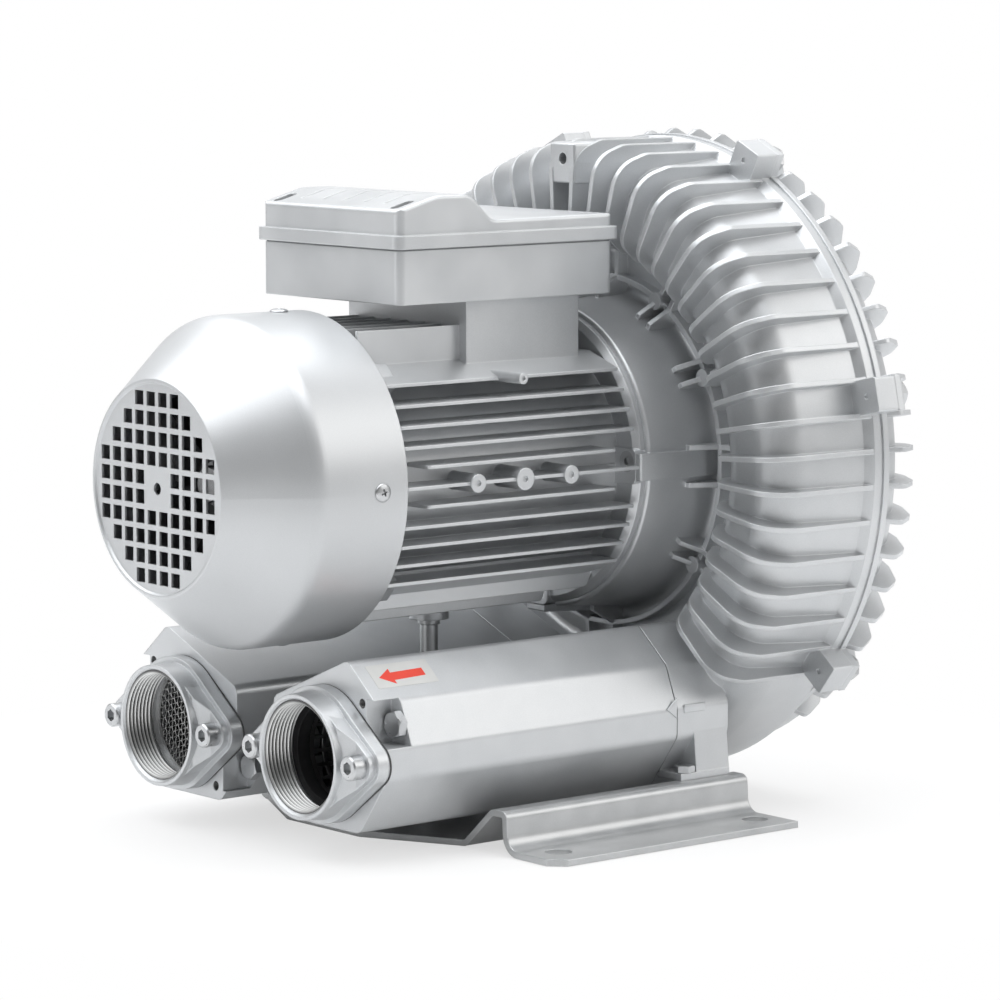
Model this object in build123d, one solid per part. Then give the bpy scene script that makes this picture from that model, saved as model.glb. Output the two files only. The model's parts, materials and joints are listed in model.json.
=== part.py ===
from build123d import *
import os
from math import atan2, cos, degrees, hypot, pi, radians, sin, sqrt

# Side channel blower: finned two-part casing, fan-cooled motor, two silencers and a pressed foot.
# Lengths are in millimetres. +X is right and +Y points from the motor to the casing, +Z is up.
# The origin lies on the floor, in the middle of the four foot holes.

# Main axis and ports
AXIS_Z = 193.0
PORT_X = 63.5
PORT_Z = 55.0

# Planes across the motor axis, from the fan end to the casing end
GRILLE_Y = -222.3
CONE_Y = -181.3
COVER_RIM_Y = -125.8
FRAME_FRONT_Y = -128.0
NECK_Y = 44.0
SEAM_Y = 41.0
CASING_FRONT_Y = 66.0
DISH_Y = 92.0
FLANGE_Y = 124.0
JOINT_Y = 134.0

# Motor frame
FRAME_BORE_R = 62.0
FRAME_WALL = 5.0
FIN_TIP_R = 86.5
FIN_PITCH_Z = 10.5
SIDE_FINS = 11
SIDE_FIN_T = 1.8
SHORT_FIN_CUT = 15.0
TOP_FIN_X = 45.0
TOP_FIN_FROM = 60.5
TOP_FIN_TO = 80.0
TOP_FIN_COUNT = 7
NECK_BOX_X = 51.0
NECK_BOX_FRONT_Y = -56.0
NECK_BOX_BACK_Y = 23.0
NECK_BOX_FROM = 52.5
BELLY_Z = 69.3
BELLY_FIN_TO = 77.0
BOSS_YS = (-77.7, -45.3, -13.1)
BOSS_RS = (5.0, 6.0, 5.0)
BOSS_TIP_X = 88.0
DIMPLE_R = 1.6
DIMPLE_DEPTH = 1.2
FRAME_END_GAP = 8.0
FIN_FRONT_GAP = 3.0
PIN_Y = -46.0
PIN_UP = 53.5
PIN_TIP_X = 87.0
PIN_R = 3.0
END_RING_R = 79.5
END_RING_BACK_R = 83.0
END_RING_Y = 38.0
END_LUG_R = 84.0
END_LUG_H = 19.5
END_LUG_T = 8.0

# Windings and cores
CORE_FRONT_Y = -90.0
CORE_BACK_Y = 5.0
STATOR_ID_R = 38.0
AIR_GAP = 0.4
WINDING_R_IN = 42.0
WINDING_R_OUT = 57.5
WINDING_LENGTH = 27.0
END_RING_R_OUT = 36.0
END_RING_R_IN = 24.0
END_RING_LENGTH = 9.0

# Shaft and bearings
FAN_SEAT_R = 10.0
FAN_SHAFT_END_Y = -190.0
SMALL_BEARING = {"bore_r": 12.5, "outer_r": 26.0, "width": 15.0, "pitch_r": 19.25, "ball_r": 3.97}
LARGE_BEARING = {"bore_r": 15.0, "outer_r": 31.0, "width": 16.0, "pitch_r": 23.0, "ball_r": 4.76}
BALLS = 9
SMALL_BEARING_Y = -136.0
LARGE_BEARING_Y = 52.0
CORE_SEAT_R = 18.0
SHAFT_SHOULDER_R = 16.5
IMPELLER_SEAT_R = 14.0
IMPELLER_SEAT_Y = 98.0
IMPELLER_SEAT_END_Y = 125.0
SEAL_R = 23.5
SEAL_Y = 91.0
SEAL_WIDTH = 6.5
RING_CLEARANCE = 0.02
TRACK_CLEARANCE = 0.03

# Casing
CASING_NECK_R = 85.5
NECK_ROOT_R = 89.5
NECK_INNER_R = 79.0
SPIGOT_LENGTH = 4.0
SPIGOT_WALL = 5.0
SPIGOT_CLEARANCE = 0.05
DISH_R = 114.0
CHANNEL_RIM_R = 124.0
SHELL_FRONT_R = 165.0
SHELL_BACK_R = 171.0
FLANGE_R = 175.5
COVER_FLANGE_R = 176.5
FLANGE_CONE = 4.0
CASING_WALL = 5.0
CHANNEL_R = 161.5
CHANNEL_FRONT_R = 129.0
LAND_R = 121.5
LAND_INNER_R = 108.0
WEB_BACK_Y = 98.0
WEB_FRONT_Y = 90.0
BEARING_HUB_R = 38.0
LAND_GAP = 0.5
COVER_BACK_Y = 164.0
COVER_SHELL_R = 168.0
COVER_PLATE_Y = 144.0
COVER_PLATE_T = 8.0
STRIPPER_ANGLE = 26.0
LOBE_R = 159.0
LOBE_DROP = 25.0
LOBE_INNER_R = 140.0
LOBE_TOP_ANGLE = -41.8
COVER_LOBE_R = 154.0
COVER_LOBE_DROP = 22.0
COVER_LOBE_ANGLE = -55.5
LOBE_FRONT_Y = 72.0
LOBE_CORNER_R = 26.0
CASING_FINS = 42
COVER_FINS = 46
CASING_FIN_STEP = 360.0 / 56
CASING_FIN_T = 2.8
FIN_INNER_R = 116.0
FIN_FRONT_Y = 54.0
FIN_OUTER_R = 175.0
COVER_FIN_R = 180.0
COVER_FIN_BACK_Y = 171.0
LUG_BOLT_R = 182.0
LUG_R = 190.0
LUG_WIDTH = 19.0
LUG_FRONT_Y = 119.0
LUG_BACK_Y = 138.5
LUG_STEP = 360.0 / 7
RING_RIB_R = 98.5
RING_RIB_T = 3.0
RING_RIB_Y = 84.5
RIB_T = 2.8
DISH_RIBS = ((61.0, -10.0), (28.0, 10.0), (-36.0, 10.0))
DISH_BOSS_R = 4.8
ARM_WIDTH = 14.6
ARM_FRONT_Y = 36.0
ARM_BACK_Y = 82.0
ARM_FRONT_R = 88.0
ARM_BACK_R = 91.0
MOTOR_BOLT_R = 76.5
MOTOR_BOLT_UP = 2.5

# Impeller
IMPELLER_R = 160.8
IMPELLER_BLADES = 46
BLADE_T = 2.4
BLADE_SAG = 5.0
IMPELLER_FRONT_Y = 104.0
IMPELLER_BACK_Y = 130.0
IMPELLER_HUB_R = 30.0
IMPELLER_DISC_T = 7.0

# Silencers, (outwards from the port axis, above it, corner radius)
DUCT_CORNERS = (
    (17.0, 51.0, 5.0),
    (40.5, 31.5, 8.0),
    (50.0, 8.0, 6.0),
    (50.0, -7.5, 8.0),
    (27.0, -39.0, 8.0),
    (-32.0, -39.0, 6.0),
    (-47.0, -22.0, 6.0),
    (-47.0, 24.5, 6.0),
)
SILENCER_FRONT_Y = -160.0
SILENCER_WALL = 3.5
SILENCER_END_T = 9.0
DUCT_WALL = 4.5
DUCT_END_Y = 78.0
SILENCER_BOLTS = ((40.0, 19.0), (-41.5, -20.5))
SILENCER_BOLT_COLUMN_R = 6.5
NOTCH_DEPTH = 16.3
NOTCH_OUTER = (33.0, 8.5, 32.5)
NOTCH_INNER = (-34.0, -33.5, -10.5)
SPARE_HOLES = ((29.5, 30.0), (-27.5, -31.5))
SPARE_HOLE_R = 2.6
GASKET_T = 0.6
PORT_PASSAGE_R = 23.0

# Port flanges
PORT_FRONT_Y = -180.0
PORT_R = 29.8
PORT_BORE_R = 30.5
PORT_RING_R = 33.0
PORT_RING_BACK_R = 34.5
PORT_WEB_HALF = 8.5
PORT_CHAMFER = 1.4
FLANGE_PLATE_T = 7.5
FLANGE_BOSS_T = 4.0
FLANGE_BODY_R = 36.5
FLANGE_BOLT_X = 42.5
FLANGE_TIP_R = 11.0

# Silencer contents
TUBE_R = 27.0
TUBE_WALL = 1.0
TUBE_SLOT_FROM = -149.1
TUBE_SLOT_PITCH = 7.6
TUBE_SLOT_ROWS = 12
TUBE_SLOTS = 22
TUBE_SLOT = 5.5
LINER_GAP = 0.05
SCREEN_R = 30.48
SCREEN_BARS = 20
SCREEN_TILTS = (17.0, 92.0)
SCREEN_BAR = 1.0
SCREEN_LAYER = 0.8
SCREEN_RIM = 2.4

# Fan cover and cooling fan
COVER_R = 88.6
COVER_T = 1.5
GRILLE_R = 57.5
GRILLE_PITCH = 10.4
GRILLE_HOLE = 7.6
GRILLE_ROWS = (4, 6, 8, 10, 10, 10, 10, 8, 6, 4)
FAN_R = 75.0
FAN_BLADES = 8
FAN_HUB_R = 18.0
FAN_BACK_Y = -150.0
FAN_FRONT_Y = -178.0
COVER_SCREW_Y = -142.5
ENDSHIELD_R = 84.0
ENDSHIELD_T = 10.0
TIE_BOLT_R = 75.0

# Terminal box
BOX_X = 60.0
BOX_FRONT_Y = -108.5
BOX_BACK_Y = 40.5
BOX_BOTTOM_Z = 286.5
BOX_LIP_Z = 315.0
BOX_SEAL_T = 1.0
BOX_WALL = 3.5
LIP_OUT = 3.0
BAND_TOP_Z = 323.0
LID_WALL = 3.0
BOX_CORNER_R = 4.5
LID_TOP = ((-108.0, 336.5), (-83.0, 343.5), (-60.0, 343.5), (-45.0, 329.5))
CREASE_XS = (-36.0, -18.0, 0.0, 18.0, 36.0)
CREASE_W = 2.4
CREASE_DEPTH = 0.8
SLOT_LENGTH = 14.0
SLOT_WIDTH = 7.0
SCREW_SEAT_Z = 324.5
LID_SCREW_INSET = 9.0
LID_SCREW_R = 2.0
LID_BOSS_R = 6.2
LID_SCREW_HEAD_R = 3.3
CAPACITOR_R = 20.0
CAPACITOR_LENGTH = 48.0
CAPACITOR_XS = (-24.0, 20.0)
GLAND_Y = 5.0
PLUG_Y = -42.0
GLAND_R = 8.0

# Foot and supports
FOOT_X = 163.5
FOOT_FRONT_Y = -88.0
FOOT_BACK_Y = 84.0
PLATE_T = 3.5
RIDGE_Z = 23.5
RIDGE_OUT_X = 123.0
RIDGE_IN_X = 110.5
RIDGE_FOOT_X = 124.2
WEB_BEND_X = 88.0
WEB_NOSE_X = 32.0
WEB_NOSE_Y = -115.0
FOOT_HOLE_X = 144.0
FOOT_HOLE_Y = 70.0
FOOT_HOLE_R = 7.25
LEG_FRONT_Y = 53.0
LEG_BACK_Y = 77.0
LEG_X_IN = 97.0
LEG_X_TOP = 112.5
LEG_X_BOTTOM = 116.0
PAD_FRONT_Y = 41.5
PAD_BOLT_X = 112.0
PAD_BOLT_Y = 47.4
PAD_T = 4.0
POST_Y = -41.0
POST_R = 5.0
POST_TOP_Z = 108.0

# Fasteners
M5_R = 2.5
M6_R = 3.0
M8_R = 4.0
HOLE_CLEARANCE = 0.5
THREAD_GAP = 0.05
M6_HEX = 10.0
M6_HEX_T = 5.0
M6_SUNK_R = 6.0
M6_SUNK_T = 3.2
M8_HEX = 13.0
M8_HEX_T = 5.3
M8_CAP_R = 6.5
M8_CAP_T = 8.0
M8_SOCKET = 6.0

MOTOR_AXIS = Axis((0, 0, AXIS_Z), (0, 1, 0))
os.makedirs("parts", exist_ok=True)


# Shape helpers


def loop(corners):
    """Closed outline from (u, v) or (u, v, radius) corners."""
    points = [corner[:2] for corner in corners]
    radii = [corner[2] if len(corner) > 2 else 0 for corner in corners]
    return FilletPolyline(*points, radius=radii, close=True)


def turned(corners, angle=360.0, start=0.0):
    """Solid turned about the motor axis from (radius, y) corners."""
    profile = Plane.XY.offset(AXIS_Z) * make_face(loop(corners))
    return around(revolve(profile, MOTOR_AXIS, -angle), start)


def around(shape, angle):
    """Turns a shape made at +X to an angle counted from +X towards +Z."""
    return shape.rotate(MOTOR_AXIS, -angle)


def bar(corners, y0, y1, inset=0.0):
    """Bar along Y with a section given by (x, z) or (x, z, radius) corners."""
    plane = Plane(origin=(0, y0, 0), x_dir=(1, 0, 0), z_dir=(0, -1, 0))
    section = make_face(loop(corners))
    if inset:
        section = offset(section, amount=-inset)
    return extrude(plane * section, amount=y1 - y0, dir=(0, 1, 0))


def rod_x(radius, x0, x1, y, z):
    return Solid.make_cylinder(radius, abs(x1 - x0), Plane(origin=(min(x0, x1), y, z), z_dir=(1, 0, 0)))


def rod_y(radius, y0, y1, x=0.0, z=AXIS_Z):
    return Solid.make_cylinder(radius, y1 - y0, Plane(origin=(x, y0, z), z_dir=(0, 1, 0)))


def rod_z(radius, z0, z1, x, y):
    return Solid.make_cylinder(radius, z1 - z0, Plane(origin=(x, y, z0), z_dir=(0, 0, 1)))


def block(x0, x1, y0, y1, z0, z1):
    return Pos((x0 + x1) / 2, (y0 + y1) / 2, (z0 + z1) / 2) * Box(x1 - x0, y1 - y0, z1 - z0)


def hexagon(plane, flats, height, turn=0.0):
    return extrude(plane * RegularPolygon(flats / 2, 6, major_radius=False, rotation=turn), amount=height)


def facing(x, y, z, direction):
    return Plane(origin=(x, y, z), z_dir=direction)


def save(name, shape):
    """Writes one node from a shape or a list of shapes that stay separate solids."""
    shapes = shape if isinstance(shape, list) else [shape]
    solids = [solid for item in shapes for solid in item.solids()]
    export_step(solids[0] if len(solids) == 1 else Compound(children=solids), f"parts/{name}.step")


def duct(side, y0, y1, inset=0.0):
    corners = [(side * (PORT_X + u), PORT_Z + v, r) for u, v, r in DUCT_CORNERS]
    return bar(corners, y0, y1, inset)


def hex_bolt(x, y, z, direction, length):
    """M8 hex bolt: the head stands at (x, y, z) and the shank points along direction."""
    back = tuple(-d for d in direction)
    head = hexagon(facing(x, y, z, back), M8_HEX, M8_HEX_T)
    shank = Solid.make_cylinder(M8_R - THREAD_GAP, length, facing(x, y, z, direction))
    return head + shank


# Foot


def base_bracket():
    """One bent plate: flat web, two hollow ridges and two outer feet."""
    top = [
        (FOOT_X, PLATE_T),
        (RIDGE_FOOT_X, PLATE_T, 8.0),
        (RIDGE_OUT_X, RIDGE_Z, 4.5),
        (RIDGE_IN_X, RIDGE_Z, 6.0),
        (WEB_BEND_X, PLATE_T, 5.0),
    ]
    mirrored = [(-x, z, *r) for x, z, *r in reversed(top)]
    under = [
        (-FOOT_X, 0.0),
        (-(RIDGE_FOOT_X - PLATE_T), 0.0, 11.5),
        (-(RIDGE_OUT_X - PLATE_T), RIDGE_Z - PLATE_T, 1.0),
        (-(RIDGE_IN_X + 1.3), RIDGE_Z - PLATE_T, 2.5),
        (-(WEB_BEND_X + 1.3), 0.0, 8.5),
    ]
    mirrored_under = [(-x, z, *r) for x, z, *r in reversed(under)]
    plate = bar(top + mirrored + under + mirrored_under, FOOT_FRONT_Y, FOOT_BACK_Y)
    nose = extrude(
        make_face(
            loop(
                [
                    (-WEB_BEND_X, FOOT_FRONT_Y + 1),
                    (-WEB_NOSE_X, WEB_NOSE_Y, 8.0),
                    (WEB_NOSE_X, WEB_NOSE_Y, 8.0),
                    (WEB_BEND_X, FOOT_FRONT_Y + 1),
                ]
            )
        ),
        amount=PLATE_T,
    )
    plate += nose
    for sx in (-1, 1):
        for sy in (-1, 1):
            plate -= rod_z(FOOT_HOLE_R, -1, PLATE_T + 1, sx * FOOT_HOLE_X, sy * FOOT_HOLE_Y)
        plate -= rod_z(M6_R, 0, RIDGE_Z + 1, sx * PAD_BOLT_X, PAD_BOLT_Y)
        corner = [
            (sx * (FOOT_X + 1), FOOT_FRONT_Y - 1),
            (sx * (FOOT_X + 1), FOOT_FRONT_Y + 9),
            (sx * (FOOT_X - 9), FOOT_FRONT_Y - 1),
        ]
        plate -= extrude(make_face(Polyline(*corner, close=True)), amount=PLATE_T + 1)
    plate -= rod_z(POST_R + THREAD_GAP, -1, PLATE_T + 1, 0, POST_Y)
    return plate


def base_bolts():
    """Vertical M6 hex bolts through the casing's foot pads into the tapped ridges."""
    bolts = []
    for sx in (-1, 1):
        x, y = sx * PAD_BOLT_X, PAD_BOLT_Y
        seat = RIDGE_Z + PAD_T
        head = hexagon(facing(x, y, seat, (0, 0, 1)), M6_HEX, M6_HEX_T)
        bolts.append(head + rod_z(M6_R - THREAD_GAP, seat - PAD_T - PLATE_T - 4.0, seat, x, y))
    return bolts


def motor_support_post():
    post = rod_z(POST_R, 1.0, POST_TOP_Z - 2.0, 0, POST_Y)
    cap = rod_z(POST_R + 1.2, POST_TOP_Z - 3.0, POST_TOP_Z, 0, POST_Y)
    nut = hexagon(facing(0, POST_Y, PLATE_T, (0, 0, 1)), 17.0, 8.0)
    return post + cap + nut


# Casing


def lug_angles():
    return [90.0 + side * (LUG_STEP / 2 + LUG_STEP * i) for side in (-1, 1) for i in range(3)] + [270.0]


def fin_angles(count):
    return [90.0 + side * CASING_FIN_STEP * (i + 0.5) for side in (-1, 1) for i in range(count // 2)]


def lug_block(y0, y1):
    return block(FLANGE_R - 12, LUG_R, y0, y1, AXIS_Z - LUG_WIDTH / 2, AXIS_Z + LUG_WIDTH / 2)


def front_lug():
    """Lug in front of the joint, with its outer front edges cut back."""
    lug = lug_block(LUG_FRONT_Y, JOINT_Y)
    outer = lug.edges().filter_by(Axis.Y).sort_by(Axis.X)[-2:]
    return fillet(outer, 1.2)


def radial_plate(corners, thickness):
    """Plate in the plane through the motor axis, from (radius, y) corners."""
    plate = Plane.XY.offset(AXIS_Z - thickness / 2) * make_face(loop(corners))
    return extrude(plate, amount=thickness)


def casing_fin():
    return radial_plate(
        [
            (CHANNEL_RIM_R + 8, DISH_Y - 10),
            (FIN_INNER_R + 2, DISH_Y - 13, 3.0),
            (FIN_INNER_R + 1, DISH_Y - 22, 5.0),
            (FIN_INNER_R + 13, FIN_FRONT_Y, 14.0),
            (SHELL_FRONT_R + 3, FIN_FRONT_Y, 17.0),
            (FIN_OUTER_R, CASING_FRONT_Y + 8, 14.0),
            (FIN_OUTER_R, JOINT_Y - 4, 1.5),
            (SHELL_BACK_R - 1, JOINT_Y - 4),
            (SHELL_FRONT_R - 8, JOINT_Y - 6),
        ],
        CASING_FIN_T,
    )


def cover_fin():
    return radial_plate(
        [
            (SHELL_FRONT_R - 6, JOINT_Y + 4),
            (FLANGE_R - 1, JOINT_Y + 4),
            (COVER_FIN_R, JOINT_Y + 13, 5.0),
            (COVER_FIN_R - 7, COVER_BACK_Y - 4, 8.0),
            (SHELL_FRONT_R - 7, COVER_BACK_Y + 4, 10.0),
            (CHANNEL_RIM_R + 6, COVER_FIN_BACK_Y, 14.0),
            (FIN_INNER_R, COVER_BACK_Y - 2, 6.0),
            (FIN_INNER_R + 1, COVER_PLATE_Y + 6),
        ],
        CASING_FIN_T,
    )


def lobe(radius, drop, y0, y1, top_angle, front_corner=0.0):
    """Smooth lower part of the casing, turned about a line below the motor axis."""
    drum = turned([(60.0, y0), (radius, y0, front_corner), (radius, y1), (60.0, y1)])
    reach = LUG_R + 20.0
    slope = radians(top_angle)
    outline = []
    for r in (LOBE_INNER_R - 40.0, reach):
        outline.append((r * cos(slope), AXIS_Z + r * sin(slope)))
    outline.append((reach * cos(slope), AXIS_Z - reach))
    mirrored = [(-x, z) for x, z in reversed(outline)]
    drum = Pos(0, 0, -drop) * drum & bar(outline + mirrored, y0, y1)
    return drum - rod_y(LOBE_INNER_R, y0 - 1, y1 + 1)


def channel_cavity():
    """Space of the side channel and the impeller in front of the joint."""
    return turned(
        [
            (CHANNEL_R, JOINT_Y + 1),
            (CHANNEL_R, CASING_FRONT_Y + CASING_WALL, 18.0),
            (CHANNEL_FRONT_R, CASING_FRONT_Y + CASING_WALL, 10.0),
            (LAND_R, IMPELLER_FRONT_Y - LAND_GAP),
            (LAND_INNER_R, IMPELLER_FRONT_Y - LAND_GAP),
            (LAND_INNER_R, WEB_BACK_Y),
            (SEAL_R, WEB_BACK_Y),
            (SEAL_R, JOINT_Y + 1),
        ]
    ) + rod_y(SEAL_R, SEAL_Y, JOINT_Y + 1)


def stripper(y0, y1):
    """Block that closes the channel between the two ports."""
    return turned(
        [(LAND_R - 1, y0), (CHANNEL_R + 1, y0), (CHANNEL_R + 1, y1), (LAND_R - 1, y1)],
        STRIPPER_ANGLE,
        270.0 - STRIPPER_ANGLE / 2,
    )


def dish_rib():
    """Radial rib from the casing neck across the dish."""
    return radial_plate(
        [
            (NECK_ROOT_R - 6, DISH_Y - 19),
            (NECK_ROOT_R + 1, DISH_Y - 19),
            (RING_RIB_R + 1, RING_RIB_Y - 0.5),
            (DISH_R + 3, RING_RIB_Y + 0.5),
            (DISH_R + 3, DISH_Y + 1),
            (NECK_ROOT_R - 6, DISH_Y + 1),
        ],
        RIB_T,
    )


def motor_arm():
    """Arm along the casing neck with a tab over the motor's end lug and two ribs on the dish."""
    arm = radial_plate(
        [
            (END_LUG_R + 0.2, ARM_FRONT_Y),
            (ARM_FRONT_R, ARM_FRONT_Y, 1.0),
            (ARM_BACK_R, ARM_BACK_Y, 2.0),
            (ARM_BACK_R, DISH_Y + 1),
            (NECK_INNER_R + 1, DISH_Y + 1),
            (NECK_INNER_R + 1, NECK_Y),
            (END_LUG_R + 0.2, NECK_Y),
        ],
        ARM_WIDTH,
    )
    rib = radial_plate(
        [
            (NECK_ROOT_R - 6, ARM_BACK_Y - 12),
            (ARM_BACK_R - 1, ARM_BACK_Y - 12),
            (RING_RIB_R, RING_RIB_Y),
            (DISH_R + 3, RING_RIB_Y + 1),
            (DISH_R + 3, DISH_Y + 1),
            (NECK_ROOT_R - 6, DISH_Y + 1),
        ],
        RIB_T,
    )
    boss = rod_y(M6_R + 4, NECK_Y + 1, NECK_Y + 24, MOTOR_BOLT_R, AXIS_Z + MOTOR_BOLT_UP)
    return arm + Pos(0, 0, 8.8) * rib + Pos(0, 0, -12.0) * rib + boss


def blower_housing():
    spigot_r = FRAME_BORE_R - SPIGOT_CLEARANCE
    body = turned(
        [
            (SEAL_R - 10, WEB_FRONT_Y),
            (NECK_INNER_R, WEB_FRONT_Y),
            (NECK_INNER_R, NECK_Y),
            (CASING_NECK_R, NECK_Y, 2.0),
            (NECK_ROOT_R, DISH_Y, 5.0),
            (DISH_R, DISH_Y, 5.0),
            (CHANNEL_RIM_R, CASING_FRONT_Y, 12.0),
            (SHELL_FRONT_R, CASING_FRONT_Y, 20.0),
            (SHELL_BACK_R, FLANGE_Y),
            (FLANGE_R, FLANGE_Y + FLANGE_CONE),
            (FLANGE_R, JOINT_Y),
            (SEAL_R - 10, JOINT_Y),
        ]
    )
    neck_ring = turned(
        [
            (spigot_r - SPIGOT_WALL, NECK_Y - SPIGOT_LENGTH),
            (spigot_r, NECK_Y - SPIGOT_LENGTH),
            (spigot_r, NECK_Y),
            (NECK_INNER_R + 1, NECK_Y),
            (NECK_INNER_R + 1, NECK_Y + 6),
            (spigot_r - SPIGOT_WALL, NECK_Y + 6),
        ]
    )
    hub = rod_y(BEARING_HUB_R, LARGE_BEARING_Y - 2, WEB_FRONT_Y + 1)
    pieces = [neck_ring, hub]
    pieces.append(lobe(LOBE_R, LOBE_DROP, LOBE_FRONT_Y, JOINT_Y, LOBE_TOP_ANGLE, LOBE_CORNER_R))
    pieces += [around(casing_fin(), angle) for angle in fin_angles(CASING_FINS)]
    pieces += [around(front_lug(), angle) for angle in lug_angles()]
    pieces.append(
        turned(
            [
                (RING_RIB_R - RING_RIB_T / 2, RING_RIB_Y),
                (RING_RIB_R + RING_RIB_T / 2, RING_RIB_Y),
                (RING_RIB_R + RING_RIB_T / 2, DISH_Y + 1),
                (RING_RIB_R - RING_RIB_T / 2, DISH_Y + 1),
            ]
        )
    )
    for tilt, shift in DISH_RIBS:
        for angle, off in ((tilt, shift), (180.0 - tilt, -shift)):
            pieces.append(around(rod_y(DISH_BOSS_R, RING_RIB_Y - 3, DISH_Y + 1, RING_RIB_R), angle))
            pieces += [around(Pos(0, 0, up) * dish_rib(), angle) for up in (0.0, off)]
    pieces += [around(motor_arm(), angle) for angle in (0, 90, 180, 270)]
    for side in (-1, 1):
        pieces.append(duct(side, SEAM_Y, DUCT_END_Y))
        leg = [
            (side * LEG_X_IN, RIDGE_Z),
            (side * LEG_X_BOTTOM, RIDGE_Z),
            (side * LEG_X_TOP, PORT_Z + 5),
            (side * LEG_X_IN, PORT_Z + 5),
        ]
        pieces.append(bar(leg, LEG_FRONT_Y, LEG_BACK_Y))
        x0, x1 = sorted((side * LEG_X_IN, side * LEG_X_BOTTOM))
        pieces.append(block(x0, x1, PAD_FRONT_Y, LEG_BACK_Y, RIDGE_Z, RIDGE_Z + PAD_T))
    body = body.fuse(*[solid for piece in pieces for solid in piece.solids()])
    stripper_block = stripper(CASING_FRONT_Y + 1, IMPELLER_FRONT_Y - LAND_GAP)
    body = body - (channel_cavity() - stripper_block)
    body -= rod_y(LARGE_BEARING["outer_r"], LARGE_BEARING_Y - 3, LARGE_BEARING_Y + LARGE_BEARING["width"])
    body -= rod_y(LARGE_BEARING["outer_r"] - 4, LARGE_BEARING_Y, SEAL_Y - 5)
    body -= rod_y(SEAL_R - 5, LARGE_BEARING_Y, SEAL_Y + 1)
    body -= o_ring(0.1)
    for angle in lug_angles():
        body -= around(rod_y(M8_R, LUG_FRONT_Y + 3, JOINT_Y + 1, LUG_BOLT_R), angle)
        body -= around(rod_y(DIMPLE_R, LUG_FRONT_Y - 1, LUG_FRONT_Y + DIMPLE_DEPTH, LUG_BOLT_R), angle)
    for angle in (0, 90, 180, 270):
        body -= around(rod_y(M6_R, NECK_Y - 1, NECK_Y + 20, MOTOR_BOLT_R, AXIS_Z + MOTOR_BOLT_UP), angle)
    for side in (-1, 1):
        body -= duct(side, SEAM_Y - 1, CASING_FRONT_Y - 1, DUCT_WALL) - silencer_columns(side)
        body -= rod_y(PORT_PASSAGE_R, SEAM_Y, DISH_Y, side * PORT_X, PORT_Z)
        for u, v in SILENCER_BOLTS:
            body -= rod_y(M8_R, SEAM_Y - 1, CASING_FRONT_Y - 3, side * (PORT_X + u), PORT_Z + v)
        body -= rod_z(M6_R + HOLE_CLEARANCE, RIDGE_Z - 1, RIDGE_Z + PAD_T + 1, side * PAD_BOLT_X, PAD_BOLT_Y)
    return body


def silencer_columns(side):
    """Columns that hold the long silencer bolts."""
    columns = None
    for u, v in SILENCER_BOLTS:
        column = rod_y(SILENCER_BOLT_COLUMN_R, SILENCER_FRONT_Y, DUCT_END_Y, side * (PORT_X + u), PORT_Z + v)
        columns = column if columns is None else columns + column
    return columns


def o_ring(gap):
    """Ring in the joint face: gap 0 gives the ring, a larger one its groove."""
    middle = (CHANNEL_R + FLANGE_R) / 2 - 1.0
    return turned(
        [
            (middle - 1.5 - gap, JOINT_Y - 3.0),
            (middle + 1.5 + gap, JOINT_Y - 3.0),
            (middle + 1.5 + gap, JOINT_Y + (1.0 if gap else 0.0)),
            (middle - 1.5 - gap, JOINT_Y + (1.0 if gap else 0.0)),
        ]
    )


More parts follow.
